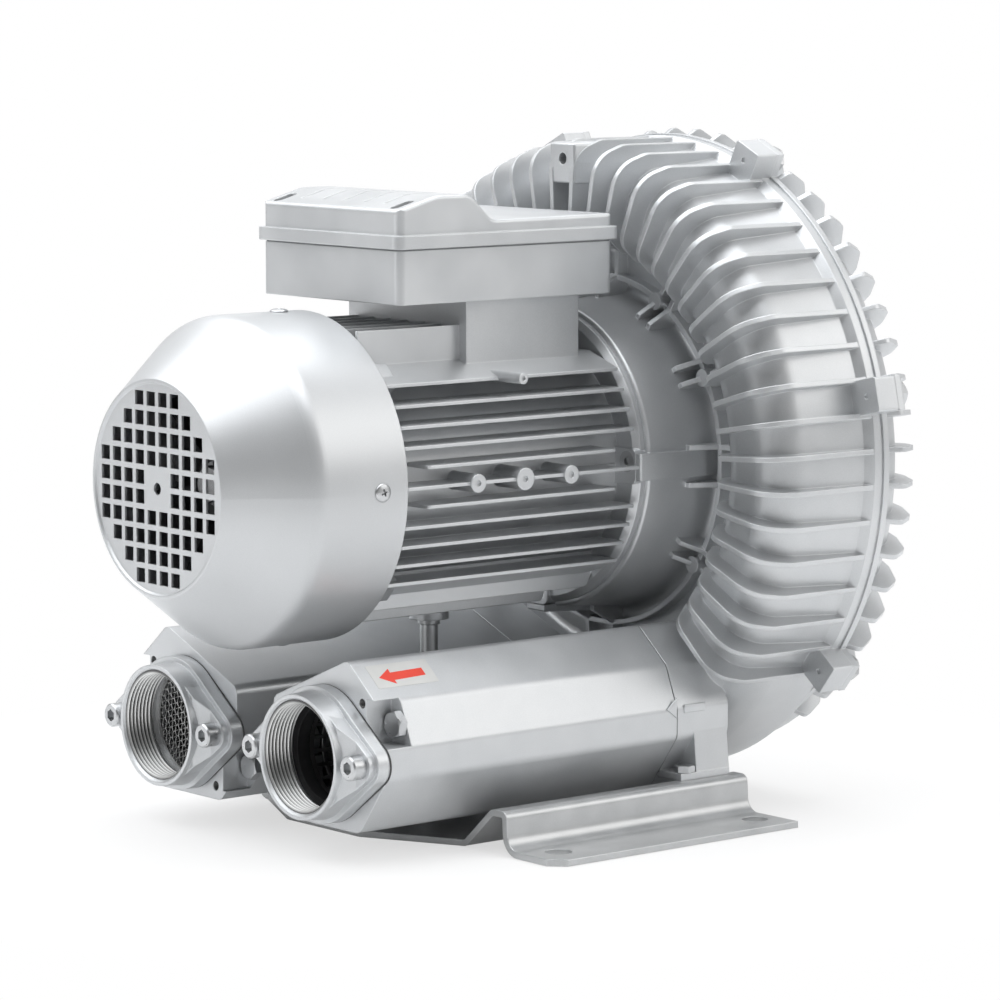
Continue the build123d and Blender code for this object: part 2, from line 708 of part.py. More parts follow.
def blower_cover():
    inner_y = COVER_PLATE_Y - COVER_PLATE_T
    body = turned(
        [
            (0.0, inner_y),
            (LAND_INNER_R, inner_y),
            (LAND_INNER_R, IMPELLER_BACK_Y + LAND_GAP),
            (LAND_R, IMPELLER_BACK_Y + LAND_GAP),
            (LAND_R, JOINT_Y),
            (COVER_FLANGE_R, JOINT_Y),
            (COVER_FLANGE_R, LUG_BACK_Y, 1.0),
            (COVER_SHELL_R, LUG_BACK_Y),
            (SHELL_FRONT_R, COVER_BACK_Y, 22.0),
            (FIN_INNER_R, COVER_BACK_Y, 22.0),
            (DISH_R, COVER_PLATE_Y, 5.0),
            (0.0, COVER_PLATE_Y),
        ]
    )
    pieces = [lobe(COVER_LOBE_R, COVER_LOBE_DROP, JOINT_Y, COVER_BACK_Y - 6, COVER_LOBE_ANGLE)]
    pieces += [around(cover_fin(), angle) for angle in fin_angles(COVER_FINS)]
    pieces += [around(lug_block(JOINT_Y, LUG_BACK_Y), angle) for angle in lug_angles()]
    pieces.append(rod_y(20.0, COVER_PLATE_Y - 1, COVER_PLATE_Y + 10))
    for i in range(8):
        rib = block(15.0, DISH_R + 4, COVER_PLATE_Y - 1, COVER_PLATE_Y + 7, -RIB_T / 2, RIB_T / 2)
        pieces.append(around(Pos(0, 0, AXIS_Z) * rib, 45.0 * i + 22.5))
    stripper_r = CHANNEL_R - 0.3
    lip = [
        (LAND_R - 1, IMPELLER_BACK_Y + LAND_GAP),
        (stripper_r, IMPELLER_BACK_Y + LAND_GAP),
        (stripper_r, JOINT_Y + 1),
        (LAND_R - 1, JOINT_Y + 1),
    ]
    pieces.append(turned(lip, STRIPPER_ANGLE, 270.0 - STRIPPER_ANGLE / 2))
    body = body.fuse(*[solid for piece in pieces for solid in piece.solids()])
    cavity = turned(
        [
            (CHANNEL_R, JOINT_Y - 1),
            (CHANNEL_R, COVER_BACK_Y - CASING_WALL, 19.0),
            (LAND_R + 3.5, COVER_BACK_Y - CASING_WALL, 17.0),
            (LAND_R, JOINT_Y - 1),
        ]
    )
    body -= cavity - stripper(IMPELLER_BACK_Y + LAND_GAP, COVER_BACK_Y - 1)
    for angle in lug_angles():
        body -= around(rod_y(M8_R + HOLE_CLEARANCE, JOINT_Y - 1, LUG_BACK_Y + 1, LUG_BOLT_R), angle)
        body -= around(rod_y(M8_HEX * 0.64, LUG_BACK_Y, COVER_FIN_BACK_Y + 1, LUG_BOLT_R), angle)
    return body


def housing_bolts():
    length = LUG_BACK_Y - LUG_FRONT_Y - 4.0
    bolt = hex_bolt(LUG_BOLT_R, LUG_BACK_Y, AXIS_Z, (0, -1, 0), length)
    return [around(bolt, angle) for angle in lug_angles()]


# Silencers and ports


def silencer(side):
    body = duct(side, SILENCER_FRONT_Y, SEAM_Y - GASKET_T)
    hollow = duct(side, SILENCER_FRONT_Y + SILENCER_END_T, SEAM_Y, SILENCER_WALL)
    keep = silencer_columns(side)
    for u in (-FLANGE_BOLT_X, FLANGE_BOLT_X):
        keep += rod_y(M8_R + 3.5, SILENCER_FRONT_Y, SILENCER_FRONT_Y + 22, side * (PORT_X + u), PORT_Z)
    body -= hollow - keep
    body -= rod_y(PORT_BORE_R, SILENCER_FRONT_Y - 1, SILENCER_FRONT_Y + SILENCER_END_T + 1, side * PORT_X, PORT_Z)
    for u, v in SILENCER_BOLTS:
        x, z = side * (PORT_X + u), PORT_Z + v
        body -= rod_y(M8_R + HOLE_CLEARANCE, SILENCER_FRONT_Y, SEAM_Y + 1, x, z)
        edge, low, high = NOTCH_OUTER if u > 0 else NOTCH_INNER
        far = 60.0 if u > 0 else -60.0
        x0, x1 = sorted((side * (PORT_X + edge), side * (PORT_X + far)))
        notch = block(x0, x1, SILENCER_FRONT_Y - 1, SILENCER_FRONT_Y + NOTCH_DEPTH, PORT_Z + low, PORT_Z + high)
        around_notch = block(
            x0 - 3, x1 + 3, SILENCER_FRONT_Y + 1, SILENCER_FRONT_Y + NOTCH_DEPTH + 4,
            PORT_Z + low - 3, PORT_Z + high + 3,
        )
        around_notch &= duct(side, SILENCER_FRONT_Y, SILENCER_FRONT_Y + 40)
        around_notch -= rod_y(PORT_BORE_R, SILENCER_FRONT_Y - 1, SEAM_Y, side * PORT_X, PORT_Z)
        bolt_hole = rod_y(M8_R + HOLE_CLEARANCE, SILENCER_FRONT_Y, SEAM_Y + 1, x, z)
        body = body + around_notch - notch - bolt_hole
    for u in (-FLANGE_BOLT_X, FLANGE_BOLT_X):
        body -= rod_y(M8_R, SILENCER_FRONT_Y - 1, SILENCER_FRONT_Y + 18, side * (PORT_X + u), PORT_Z)
    for u, v in SPARE_HOLES:
        body -= rod_y(SPARE_HOLE_R, SILENCER_FRONT_Y - 1, SILENCER_FRONT_Y + 8, side * (PORT_X + u), PORT_Z + v)
    return body


def silencer_gasket(side):
    ring = duct(side, SEAM_Y - GASKET_T, SEAM_Y, 0.3) - duct(side, SEAM_Y - 1, SEAM_Y + 1, DUCT_WALL + 1)
    tabs = silencer_columns(side) & duct(side, SEAM_Y - GASKET_T, SEAM_Y, 0.5)
    gasket = ring + tabs
    for u, v in SILENCER_BOLTS:
        gasket -= rod_y(M8_R + HOLE_CLEARANCE, SEAM_Y - 1, SEAM_Y + 1, side * (PORT_X + u), PORT_Z + v)
    return gasket


def silencer_bolts():
    bolts = []
    start = SILENCER_FRONT_Y + NOTCH_DEPTH
    for side in (-1, 1):
        for u, v in SILENCER_BOLTS:
            x, z = side * (PORT_X + u), PORT_Z + v
            bolts.append(hex_bolt(x, start, z, (0, 1, 0), SEAM_Y - start + 20.0))
    return bolts


def flange_outline(radius, tip, y0, y1, side):
    """Two-bolt rhomboid plate around a port."""
    plane = Plane(origin=(side * PORT_X, y0, PORT_Z), x_dir=(1, 0, 0), z_dir=(0, -1, 0))
    circles = [Circle(radius).edge()]
    circles += [(Pos(u, 0) * Circle(tip)).edge() for u in (-FLANGE_BOLT_X, FLANGE_BOLT_X)]
    return extrude(plane * make_hull(circles), amount=y1 - y0, dir=(0, 1, 0))


def port_flange(side):
    back = SILENCER_FRONT_Y - GASKET_T
    plate_y = back - FLANGE_PLATE_T
    boss_y = plate_y - FLANGE_BOSS_T
    body = flange_outline(FLANGE_BODY_R, FLANGE_TIP_R, plate_y, back, side)
    ring = Solid.make_cone(
        PORT_RING_BACK_R, PORT_RING_R, back - PORT_FRONT_Y,
        Plane(origin=(side * PORT_X, back, PORT_Z), z_dir=(0, -1, 0)),
    )
    body = body + ring
    slab = flange_outline(PORT_RING_R, PORT_WEB_HALF, PORT_FRONT_Y, back, side)
    tip = FLANGE_BOLT_X + PORT_WEB_HALF + 1
    wedge = [
        (-tip, back),
        (-tip, boss_y),
        (-FLANGE_BOLT_X + 3, boss_y),
        (-PORT_RING_R + 3, PORT_FRONT_Y + 3),
        (PORT_RING_R - 3, PORT_FRONT_Y + 3),
        (FLANGE_BOLT_X - 3, boss_y),
        (tip, boss_y),
        (tip, back),
    ]
    profile = Plane.XY.offset(PORT_Z - 40) * make_face(loop([(side * PORT_X + u, y) for u, y in wedge]))
    body += slab & extrude(profile, amount=80.0)
    for u in (-1, 1):
        x = side * PORT_X + u * FLANGE_BOLT_X
        body -= rod_y(M8_R + HOLE_CLEARANCE, PORT_FRONT_Y, back + 1, x, PORT_Z)
        body -= rod_y(M8_CAP_R + 0.4, PORT_FRONT_Y - 1, boss_y, x, PORT_Z)
    body -= rod_y(PORT_R, PORT_FRONT_Y - 1, back + 1, side * PORT_X, PORT_Z)
    mouth = Solid.make_cone(
        PORT_R + PORT_CHAMFER, PORT_R, PORT_CHAMFER,
        Plane(origin=(side * PORT_X, PORT_FRONT_Y, PORT_Z), z_dir=(0, 1, 0)),
    )
    return body - mouth


def flange_gasket(side):
    plate = flange_outline(FLANGE_BODY_R, FLANGE_TIP_R + 0.6, SILENCER_FRONT_Y - GASKET_T, SILENCER_FRONT_Y, side)
    plate -= rod_y(PORT_BORE_R, SILENCER_FRONT_Y - 2, SILENCER_FRONT_Y + 1, side * PORT_X, PORT_Z)
    for u in (-1, 1):
        x = side * PORT_X + u * FLANGE_BOLT_X
        plate -= rod_y(M8_R + HOLE_CLEARANCE, SILENCER_FRONT_Y - 2, SILENCER_FRONT_Y + 1, x, PORT_Z)
    return plate


def cap_screw(x, y, z, length):
    """M8 socket head screw pointing along +Y, its head's back at y."""
    head = rod_y(M8_CAP_R, y - M8_CAP_T, y, x, z)
    head = chamfer(head.edges().filter_by(GeomType.CIRCLE).sort_by(Axis.Y)[0], 0.8)
    socket = hexagon(facing(x, y - M8_CAP_T, z, (0, 1, 0)), M8_SOCKET, 4.0)
    return head + rod_y(M8_R - THREAD_GAP, y, y + length, x, z) - socket


def flange_screws():
    boss_y = SILENCER_FRONT_Y - GASKET_T - FLANGE_PLATE_T - FLANGE_BOSS_T
    xs = [side * PORT_X + u * FLANGE_BOLT_X for side in (-1, 1) for u in (-1, 1)]
    return [cap_screw(x, boss_y, PORT_Z, 27.0) for x in xs]


def inlet_screen():
    """Guard of crossed bars in a rim, just behind the inlet thread."""
    y0 = SILENCER_FRONT_Y + 3.0
    rim = rod_y(SCREEN_R, y0, y0 + 2 * SCREEN_LAYER) - rod_y(SCREEN_R - SCREEN_RIM, y0 - 1, y0 + 3)
    pitch = 2 * SCREEN_R / SCREEN_BARS
    bars = []
    for layer, tilt in enumerate(SCREEN_TILTS):
        for i in range(SCREEN_BARS - 1):
            v = (i - (SCREEN_BARS - 2) / 2) * pitch
            half = sqrt((SCREEN_R - 1) ** 2 - v * v)
            low = y0 + layer * SCREEN_LAYER
            bars.append(around(
                block(
                    -half, half, low, low + SCREEN_LAYER,
                    AXIS_Z + v - SCREEN_BAR / 2, AXIS_Z + v + SCREEN_BAR / 2,
                ),
                tilt,
            ))
    screen = rim.fuse(*[solid for piece in bars for solid in piece.solids()])
    return Pos(-PORT_X, 0, PORT_Z - AXIS_Z) * screen


def outlet_seal_ring():
    y0, y1 = SILENCER_FRONT_Y - 0.4, SILENCER_FRONT_Y + 7.5
    return rod_y(SCREEN_R, y0, y1, PORT_X, PORT_Z) - rod_y(TUBE_R - 1.5, y0 - 1, y1 + 1, PORT_X, PORT_Z)


def tube_span():
    return SILENCER_FRONT_Y + 7.5, SEAM_Y + 20.0


def pipe(y0, y1):
    return rod_y(TUBE_R, y0, y1) - rod_y(TUBE_R - TUBE_WALL, y0 - 1, y1 + 1)


def perforated_tubes():
    """Two alike tubes, each built from rings with one row of slots."""
    y0, y1 = tube_span()
    start = TUBE_SLOT_FROM - (TUBE_SLOT_PITCH - TUBE_SLOT) / 2
    half = TUBE_SLOT / 2
    cutters = []
    for i in range(TUBE_SLOTS // 2):
        cutter = block(
            -TUBE_R - 2, TUBE_R + 2, TUBE_SLOT_FROM, TUBE_SLOT_FROM + TUBE_SLOT, AXIS_Z - half, AXIS_Z + half
        )
        cutters.append(around(cutter, 360.0 / TUBE_SLOTS * i))
    ring = pipe(start, start + TUBE_SLOT_PITCH)
    ring = ring.cut(*[solid for piece in cutters for solid in piece.solids()])
    pieces = [Pos(0, TUBE_SLOT_PITCH * i, 0) * ring for i in range(TUBE_SLOT_ROWS)]
    pieces.append(pipe(start + TUBE_SLOT_PITCH * TUBE_SLOT_ROWS, y1))
    pieces.append(rod_y(SCREEN_R, y0, y0 + TUBE_WALL) - rod_y(TUBE_R - 1, y0 - 1, y0 + 3))
    tube = pipe(y0, start).fuse(*[solid for piece in pieces for solid in piece.solids()])
    return [Pos(side * PORT_X, 0, PORT_Z - AXIS_Z) * tube for side in (-1, 1)]


def silencer_liner(side):
    y0 = SILENCER_FRONT_Y + 24.0
    y1 = SEAM_Y - 8
    liner = duct(side, y0, y1, SILENCER_WALL + LINER_GAP)
    liner -= rod_y(TUBE_R + LINER_GAP, y0 - 1, y1 + 1, side * PORT_X, PORT_Z)
    for u, v in SILENCER_BOLTS:
        x, z = side * (PORT_X + u), PORT_Z + v
        liner -= rod_y(SILENCER_BOLT_COLUMN_R + LINER_GAP, y0 - 1, y1 + 1, x, z)
    return liner


# Motor


def side_fin(level, side):
    """Flat cooling fin at one level on one side, with rounded ends."""
    z = AXIS_Z + level * FIN_PITCH_Z
    reach = sqrt(FIN_TIP_R ** 2 - (level * FIN_PITCH_Z) ** 2)
    short = SHORT_FIN_CUT if abs(level) == 1 else 0.0
    y0 = FRAME_FRONT_Y + FIN_FRONT_GAP + short
    y1 = NECK_Y - FRAME_END_GAP - short
    end = 0.0 if level == 0 else 2.5
    outline = [(side * 30.0, y0), (side * reach, y0, 2.5), (side * reach, y1, end), (side * 30.0, y1)]
    return extrude(Plane.XY.offset(z - SIDE_FIN_T / 2) * make_face(loop(outline)), amount=SIDE_FIN_T)


def belly_fin(x, depth, y1, thick):
    """Upright fin below the motor, cut back at its rear end."""
    y0 = FRAME_FRONT_Y + FIN_FRONT_GAP
    outline = [
        (y0, AXIS_Z - 50.0),
        (y0, AXIS_Z - depth, 3.0),
        (y1 - 8, AXIS_Z - depth, 3.0),
        (y1, AXIS_Z - 55.0),
        (y1, AXIS_Z - 50.0),
    ]
    face = Plane.YZ.offset(x - thick / 2) * make_face(loop(outline))
    return extrude(face, amount=thick, dir=(1, 0, 0))


def shoulder(side, up):
    """Sloped shoulder from the top fins down to the first side fin."""
    z_fin = AXIS_Z + up * 5 * FIN_PITCH_Z
    reach = sqrt(FIN_TIP_R ** 2 - (5 * FIN_PITCH_Z) ** 2)
    corners = [
        (side * 20.0, z_fin - up * SIDE_FIN_T / 2),
        (side * reach, z_fin - up * SIDE_FIN_T / 2),
        (side * reach, z_fin + up * SIDE_FIN_T / 2),
        (side * TOP_FIN_X, AXIS_Z + up * (TOP_FIN_FROM + 1)),
        (side * 20.0, AXIS_Z + up * (TOP_FIN_FROM + 1)),
    ]
    return bar(corners, FRAME_FRONT_Y + FIN_FRONT_GAP, NECK_Y - FRAME_END_GAP)


def motor_frame():
    outer_r = FRAME_BORE_R + FRAME_WALL
    body = rod_y(outer_r, FRAME_FRONT_Y, NECK_Y)
    pieces = []
    levels = range(-(SIDE_FINS // 2), SIDE_FINS // 2 + 1)
    for side in (-1, 1):
        pieces += [side_fin(level, side) for level in levels]
        pieces += [shoulder(side, up) for up in (-1, 1)]
        pieces.append(belly_fin(side * (TOP_FIN_X - 1.0), BELLY_Z, NECK_Y - 2, 2.0))
        for y, radius in zip(BOSS_YS, BOSS_RS):
            pieces.append(rod_x(radius, side * 55.0, side * BOSS_TIP_X, y, AXIS_Z))
    y0 = FRAME_FRONT_Y + FIN_FRONT_GAP
    half = SIDE_FIN_T / 2
    for i in range(TOP_FIN_COUNT):
        x = (TOP_FIN_X - half) * (2 * i / (TOP_FIN_COUNT - 1) - 1)
        pieces.append(
            block(x - half, x + half, y0, NECK_BOX_FRONT_Y + 1, AXIS_Z + 40.0, AXIS_Z + TOP_FIN_TO)
        )
    for i in range(1, TOP_FIN_COUNT - 1):
        x = TOP_FIN_X * (2 * i / (TOP_FIN_COUNT - 1) - 1)
        pieces.append(belly_fin(x, BELLY_FIN_TO, NECK_Y - 22, SIDE_FIN_T))
    pieces.append(block(
        -NECK_BOX_X, NECK_BOX_X, NECK_BOX_FRONT_Y, NECK_BOX_BACK_Y,
        AXIS_Z + NECK_BOX_FROM, BOX_BOTTOM_Z - GASKET_T,
    ))
    pieces.append(rod_z(11.0, POST_TOP_Z, AXIS_Z - 60.0, 0, POST_Y))
    pieces.append(turned([
        (outer_r - 1, END_RING_Y),
        (END_RING_R, END_RING_Y),
        (END_RING_BACK_R, END_RING_Y + 3),
        (END_RING_BACK_R, NECK_Y),
        (outer_r - 1, NECK_Y),
    ]))
    end_lug = block(
        FRAME_BORE_R + 2, END_LUG_R, NECK_Y - END_LUG_T, NECK_Y, AXIS_Z - END_LUG_H / 2, AXIS_Z + END_LUG_H / 2
    )
    end_lug = fillet(end_lug.edges().filter_by(Axis.Y).sort_by(Axis.X)[-2:], 4.0)
    tie_lug = block(
        FRAME_BORE_R + 2, TIE_BOLT_R + 7, FRAME_FRONT_Y, FRAME_FRONT_Y + 16, AXIS_Z - 7, AXIS_Z + 7
    )
    for i in range(4):
        pieces += [around(end_lug, 90.0 * i), around(tie_lug, 90.0 * i + 45)]
    pieces.append(rod_x(PIN_R, 50.0, PIN_TIP_X, PIN_Y, AXIS_Z + PIN_UP))
    body = body.fuse(*[solid for piece in pieces for solid in piece.solids()])
    body -= rod_y(FRAME_BORE_R, FRAME_FRONT_Y - 1, NECK_Y + 1)
    body -= block(
        -NECK_BOX_X + 8, NECK_BOX_X - 8, NECK_BOX_FRONT_Y + 8, NECK_BOX_BACK_Y - 8,
        AXIS_Z + FRAME_BORE_R + 2, BOX_BOTTOM_Z + 1,
    )
    body -= rod_z(9.0, AXIS_Z, AXIS_Z + FRAME_BORE_R + 3, 0, NECK_BOX_BACK_Y - 20)
    screw_hole = rod_y(
        M6_R + HOLE_CLEARANCE, NECK_Y - 9, NECK_Y + 1, MOTOR_BOLT_R, AXIS_Z + MOTOR_BOLT_UP
    )
    for i in range(4):
        body -= around(screw_hole, 90.0 * i)
        body -= around(sunk_head(0.02), 90.0 * i)
        body -= around(rod_y(M6_R, FRAME_FRONT_Y - 1, FRAME_FRONT_Y + 15, TIE_BOLT_R), 90.0 * i + 45)
    for x, y in neck_screw_places():
        body -= rod_z(M5_R, BOX_BOTTOM_Z - 16, BOX_BOTTOM_Z + 1, x, y)
    for side in (-1, 1):
        x0, x1 = sorted((side * (outer_r + 0.5), side * (END_LUG_R - 1.0)))
        body -= block(x0, x1, NECK_Y - END_LUG_T - 9, NECK_Y - END_LUG_T, AXIS_Z - 5, AXIS_Z + 5)
        for y in BOSS_YS:
            body -= rod_x(DIMPLE_R, side * (BOSS_TIP_X - DIMPLE_DEPTH), side * (BOSS_TIP_X + 1), y, AXIS_Z)
    return body - rod_x(DIMPLE_R - 0.4, PIN_TIP_X - DIMPLE_DEPTH, PIN_TIP_X + 1, PIN_Y, AXIS_Z + PIN_UP)


def neck_screw_places():
    inset = 4.2
    return [
        (sx * (NECK_BOX_X - inset), y)
        for sx in (-1, 1)
        for y in (NECK_BOX_FRONT_Y + inset + 3, NECK_BOX_BACK_Y - inset - 3)
    ]


def sunk_head(slack=0.0):
    """Countersunk head cone of a motor bolt, at angle 0."""
    plane = facing(MOTOR_BOLT_R, NECK_Y - END_LUG_T, AXIS_Z + MOTOR_BOLT_UP, (0, 1, 0))
    return Solid.make_cone(M6_SUNK_R + slack, M6_R + slack, M6_SUNK_T, plane)


def motor_flange_bolts():
    start = NECK_Y - END_LUG_T
    z = AXIS_Z + MOTOR_BOLT_UP
    bolt = sunk_head() + rod_y(M6_R - THREAD_GAP, start + 1, start + END_LUG_T + 16, MOTOR_BOLT_R, z)
    bolt -= hexagon(facing(MOTOR_BOLT_R, start, z, (0, 1, 0)), 4.0, 2.6)
    return [around(bolt, 90.0 * i) for i in range(4)]


def pan_screw(x, y, z, direction, head_r, shank_r, length, rise=0.55):
    """Domed screw: head base at (x, y, z), head away from direction."""
    back = tuple(-d for d in direction)
    head = Solid.make_cylinder(head_r, head_r * rise, facing(x, y, z, back))
    top = head.faces().sort_by(Axis((x, y, z), back))[-1]
    head = fillet(top.edges(), head_r * rise * 0.8)
    return head + Solid.make_cylinder(shank_r - THREAD_GAP, length, facing(x, y, z, direction))


def stator_core():
    outer = FRAME_BORE_R - SPIGOT_CLEARANCE
    core = rod_y(outer, CORE_FRONT_Y, CORE_BACK_Y) - rod_y(STATOR_ID_R, CORE_FRONT_Y - 1, CORE_BACK_Y + 1)
    slots = []
    for i in range(24):
        slot = block(
            STATOR_ID_R - 1, STATOR_ID_R + 4, CORE_FRONT_Y - 1, CORE_BACK_Y + 1, AXIS_Z - 1.1, AXIS_Z + 1.1
        )
        slots.append(around(slot, 15.0 * i))
    return core.cut(*[solid for piece in slots for solid in piece.solids()])


def stator_windings():
    def coil(y0, y1, round_front, round_back):
        return turned(
            [
                (WINDING_R_IN, y0, round_front),
                (WINDING_R_OUT, y0, round_front),
                (WINDING_R_OUT, y1, round_back),
                (WINDING_R_IN, y1, round_back),
            ]
        )

    return [
        coil(CORE_FRONT_Y - WINDING_LENGTH, CORE_FRONT_Y, 6.0, 0),
        coil(CORE_BACK_Y, CORE_BACK_Y + WINDING_LENGTH, 0, 6.0),
    ]


def fan_endshield():
    seat_r = SMALL_BEARING["outer_r"]
    seat_back = SMALL_BEARING_Y - 2.0
    inner_end = SMALL_BEARING_Y + SMALL_BEARING["width"]
    spigot_r = FRAME_BORE_R - SPIGOT_CLEARANCE
    front = FRAME_FRONT_Y - ENDSHIELD_T
    body = turned(
        [
            (SMALL_BEARING["bore_r"] + 1.0, front - 6),
            (seat_r + 4, front - 6, 2.0),
            (seat_r + 8, front),
            (ENDSHIELD_R, front, 2.0),
            (ENDSHIELD_R, FRAME_FRONT_Y),
            (spigot_r, FRAME_FRONT_Y),
            (spigot_r, FRAME_FRONT_Y + 6),
            (spigot_r - 6, FRAME_FRONT_Y + 6),
            (spigot_r - 6, FRAME_FRONT_Y - 3),
            (seat_r + 6, FRAME_FRONT_Y - 3),
            (seat_r + 6, inner_end),
            (seat_r, inner_end),
            (seat_r, seat_back),
            (SMALL_BEARING["bore_r"] + 1.0, seat_back),
        ]
    )
    lug_r = COVER_R - COVER_T - 0.1
    for i in range(4):
        ear = block(
            ENDSHIELD_R - 12, lug_r + 2, COVER_SCREW_Y - 7, FRAME_FRONT_Y - 1, AXIS_Z - 9, AXIS_Z + 9
        ) & rod_y(lug_r, COVER_SCREW_Y - 8, FRAME_FRONT_Y)
        body += around(ear, 90.0 * i)
    for i in range(4):
        hole = rod_x(M5_R, ENDSHIELD_R - 10, COVER_R, COVER_SCREW_Y, AXIS_Z)
        body -= around(hole, 90.0 * i)
        body -= around(rod_y(M6_R + HOLE_CLEARANCE, front - 1, FRAME_FRONT_Y + 1, TIE_BOLT_R), 90.0 * i + 45)
    return body


def endshield_bolts():
    front = FRAME_FRONT_Y - ENDSHIELD_T
    bolts = []
    for i in range(4):
        head = hexagon(facing(TIE_BOLT_R, front, AXIS_Z, (0, -1, 0)), 10.0, 4.0)
        bolt = head + rod_y(M6_R - THREAD_GAP, front, FRAME_FRONT_Y + 12, TIE_BOLT_R)
        bolts.append(around(bolt, 90.0 * i + 45))
    return bolts


def grille_cutters():
    cutters = []
    rows = len(GRILLE_ROWS)
    for row, count in enumerate(GRILLE_ROWS):
        z = AXIS_Z + ((rows - 1) / 2 - row) * GRILLE_PITCH
        for i in range(count):
            x = (i - (count - 1) / 2) * GRILLE_PITCH
            if abs(x) < GRILLE_PITCH and abs(z - AXIS_Z) < GRILLE_PITCH:
                continue
            half = GRILLE_HOLE / 2
            cutters.append(block(x - half, x + half, GRILLE_Y - 1, GRILLE_Y + 4, z - half, z + half))
    return cutters


def fan_cover():
    lip = 1.2
    body = turned(
        [
            (0.0, GRILLE_Y),
            (GRILLE_R - 2.5, GRILLE_Y),
            (GRILLE_R - 1.5, GRILLE_Y - lip),
            (GRILLE_R, GRILLE_Y - lip, 1.0),
            (COVER_R, CONE_Y, 14.0),
            (COVER_R, COVER_RIM_Y),
            (COVER_R - COVER_T, COVER_RIM_Y),
            (COVER_R - COVER_T, CONE_Y + 0.5, 12.5),
            (GRILLE_R - 1.5, GRILLE_Y + COVER_T, 1.0),
            (0.0, GRILLE_Y + COVER_T),
        ]
    )
    body = body.cut(*[solid for piece in grille_cutters() for solid in piece.solids()])
    body -= rod_y(3.2, GRILLE_Y - 2, GRILLE_Y + 3)
    for i in range(4):
        body -= around(rod_x(M5_R + 0.3, COVER_R - 4, COVER_R + 2, COVER_SCREW_Y, AXIS_Z), 90.0 * i)
    return body


def fan_cover_screws():
    screw = pan_screw(COVER_R, COVER_SCREW_Y, AXIS_Z, (-1, 0, 0), 5.0, M5_R, 9.0, 0.36)
    return [around(screw, 90.0 * i) for i in range(4)]


# Rotor


def motor_shaft():
    small = SMALL_BEARING["bore_r"] - RING_CLEARANCE
    large = LARGE_BEARING["bore_r"] - RING_CLEARANCE
    inner_end = SMALL_BEARING_Y + SMALL_BEARING["width"]
    shaft = turned(
        [
            (0.0, FAN_SHAFT_END_Y),
            (FAN_SEAT_R - 1, FAN_SHAFT_END_Y),
            (FAN_SEAT_R, FAN_SHAFT_END_Y + 1),
            (FAN_SEAT_R, FAN_BACK_Y),
            (small, FAN_BACK_Y),
            (small, inner_end),
            (SHAFT_SHOULDER_R, inner_end),
            (SHAFT_SHOULDER_R, CORE_FRONT_Y - 12),
            (CORE_SEAT_R, CORE_FRONT_Y - 12),
            (CORE_SEAT_R, CORE_BACK_Y + 12),
            (CORE_SEAT_R + 1, CORE_BACK_Y + 12),
            (CORE_SEAT_R + 1, LARGE_BEARING_Y),
            (large, LARGE_BEARING_Y),
            (large, IMPELLER_SEAT_Y),
            (IMPELLER_SEAT_R, IMPELLER_SEAT_Y),
            (IMPELLER_SEAT_R, IMPELLER_SEAT_END_Y),
            (0.0, IMPELLER_SEAT_END_Y),
        ]
    )
    shaft -= rod_y(M8_R, IMPELLER_SEAT_END_Y - 24, IMPELLER_SEAT_END_Y + 1)
    key = key_size()
    shaft -= block(-key["w"] / 2, key["w"] / 2, key["y0"], key["y1"], key["z0"], key["z1"] + 5)
    groove = rod_y(FAN_SEAT_R + 1, circlip_y(), circlip_y() + 1.3) - rod_y(
        FAN_SEAT_R - 0.6, circlip_y() - 1, circlip_y() + 3
    )
    return shaft - groove


def circlip_y():
    return FAN_FRONT_Y - 6.5


def key_size():
    return {
        "w": 8.0,
        "y0": IMPELLER_SEAT_Y + 1.5,
        "y1": IMPELLER_SEAT_END_Y - 2.0,
        "z0": AXIS_Z + IMPELLER_SEAT_R - 4.0,
        "z1": AXIS_Z + IMPELLER_SEAT_R + 3.0,
    }


def rotor_core():
    core = rod_y(STATOR_ID_R - AIR_GAP, CORE_FRONT_Y, CORE_BACK_Y)
    return core - rod_y(CORE_SEAT_R + RING_CLEARANCE, CORE_FRONT_Y - 1, CORE_BACK_Y + 1)


def rotor_end_rings():
    rings = []
    for y0 in (CORE_FRONT_Y - END_RING_LENGTH, CORE_BACK_Y):
        ring = rod_y(END_RING_R_OUT, y0, y0 + END_RING_LENGTH)
        rings.append(ring - rod_y(END_RING_R_IN, y0 - 1, y0 + END_RING_LENGTH + 1))
    return rings


def blade_section():
    """Curved blade across the channel, swept forward at its middle."""
    r0, r1 = LAND_R - 2.0, IMPELLER_R
    middle = (r0 + r1) / 2
    front = ThreePointArc((r0, 0), (middle, BLADE_SAG), (r1, 0))
    back = ThreePointArc((r1, -BLADE_T), (middle, BLADE_SAG - BLADE_T), (r0, -BLADE_T))
    return make_face([front, Line(front @ 1, back @ 0), back, Line(back @ 1, front @ 0)])


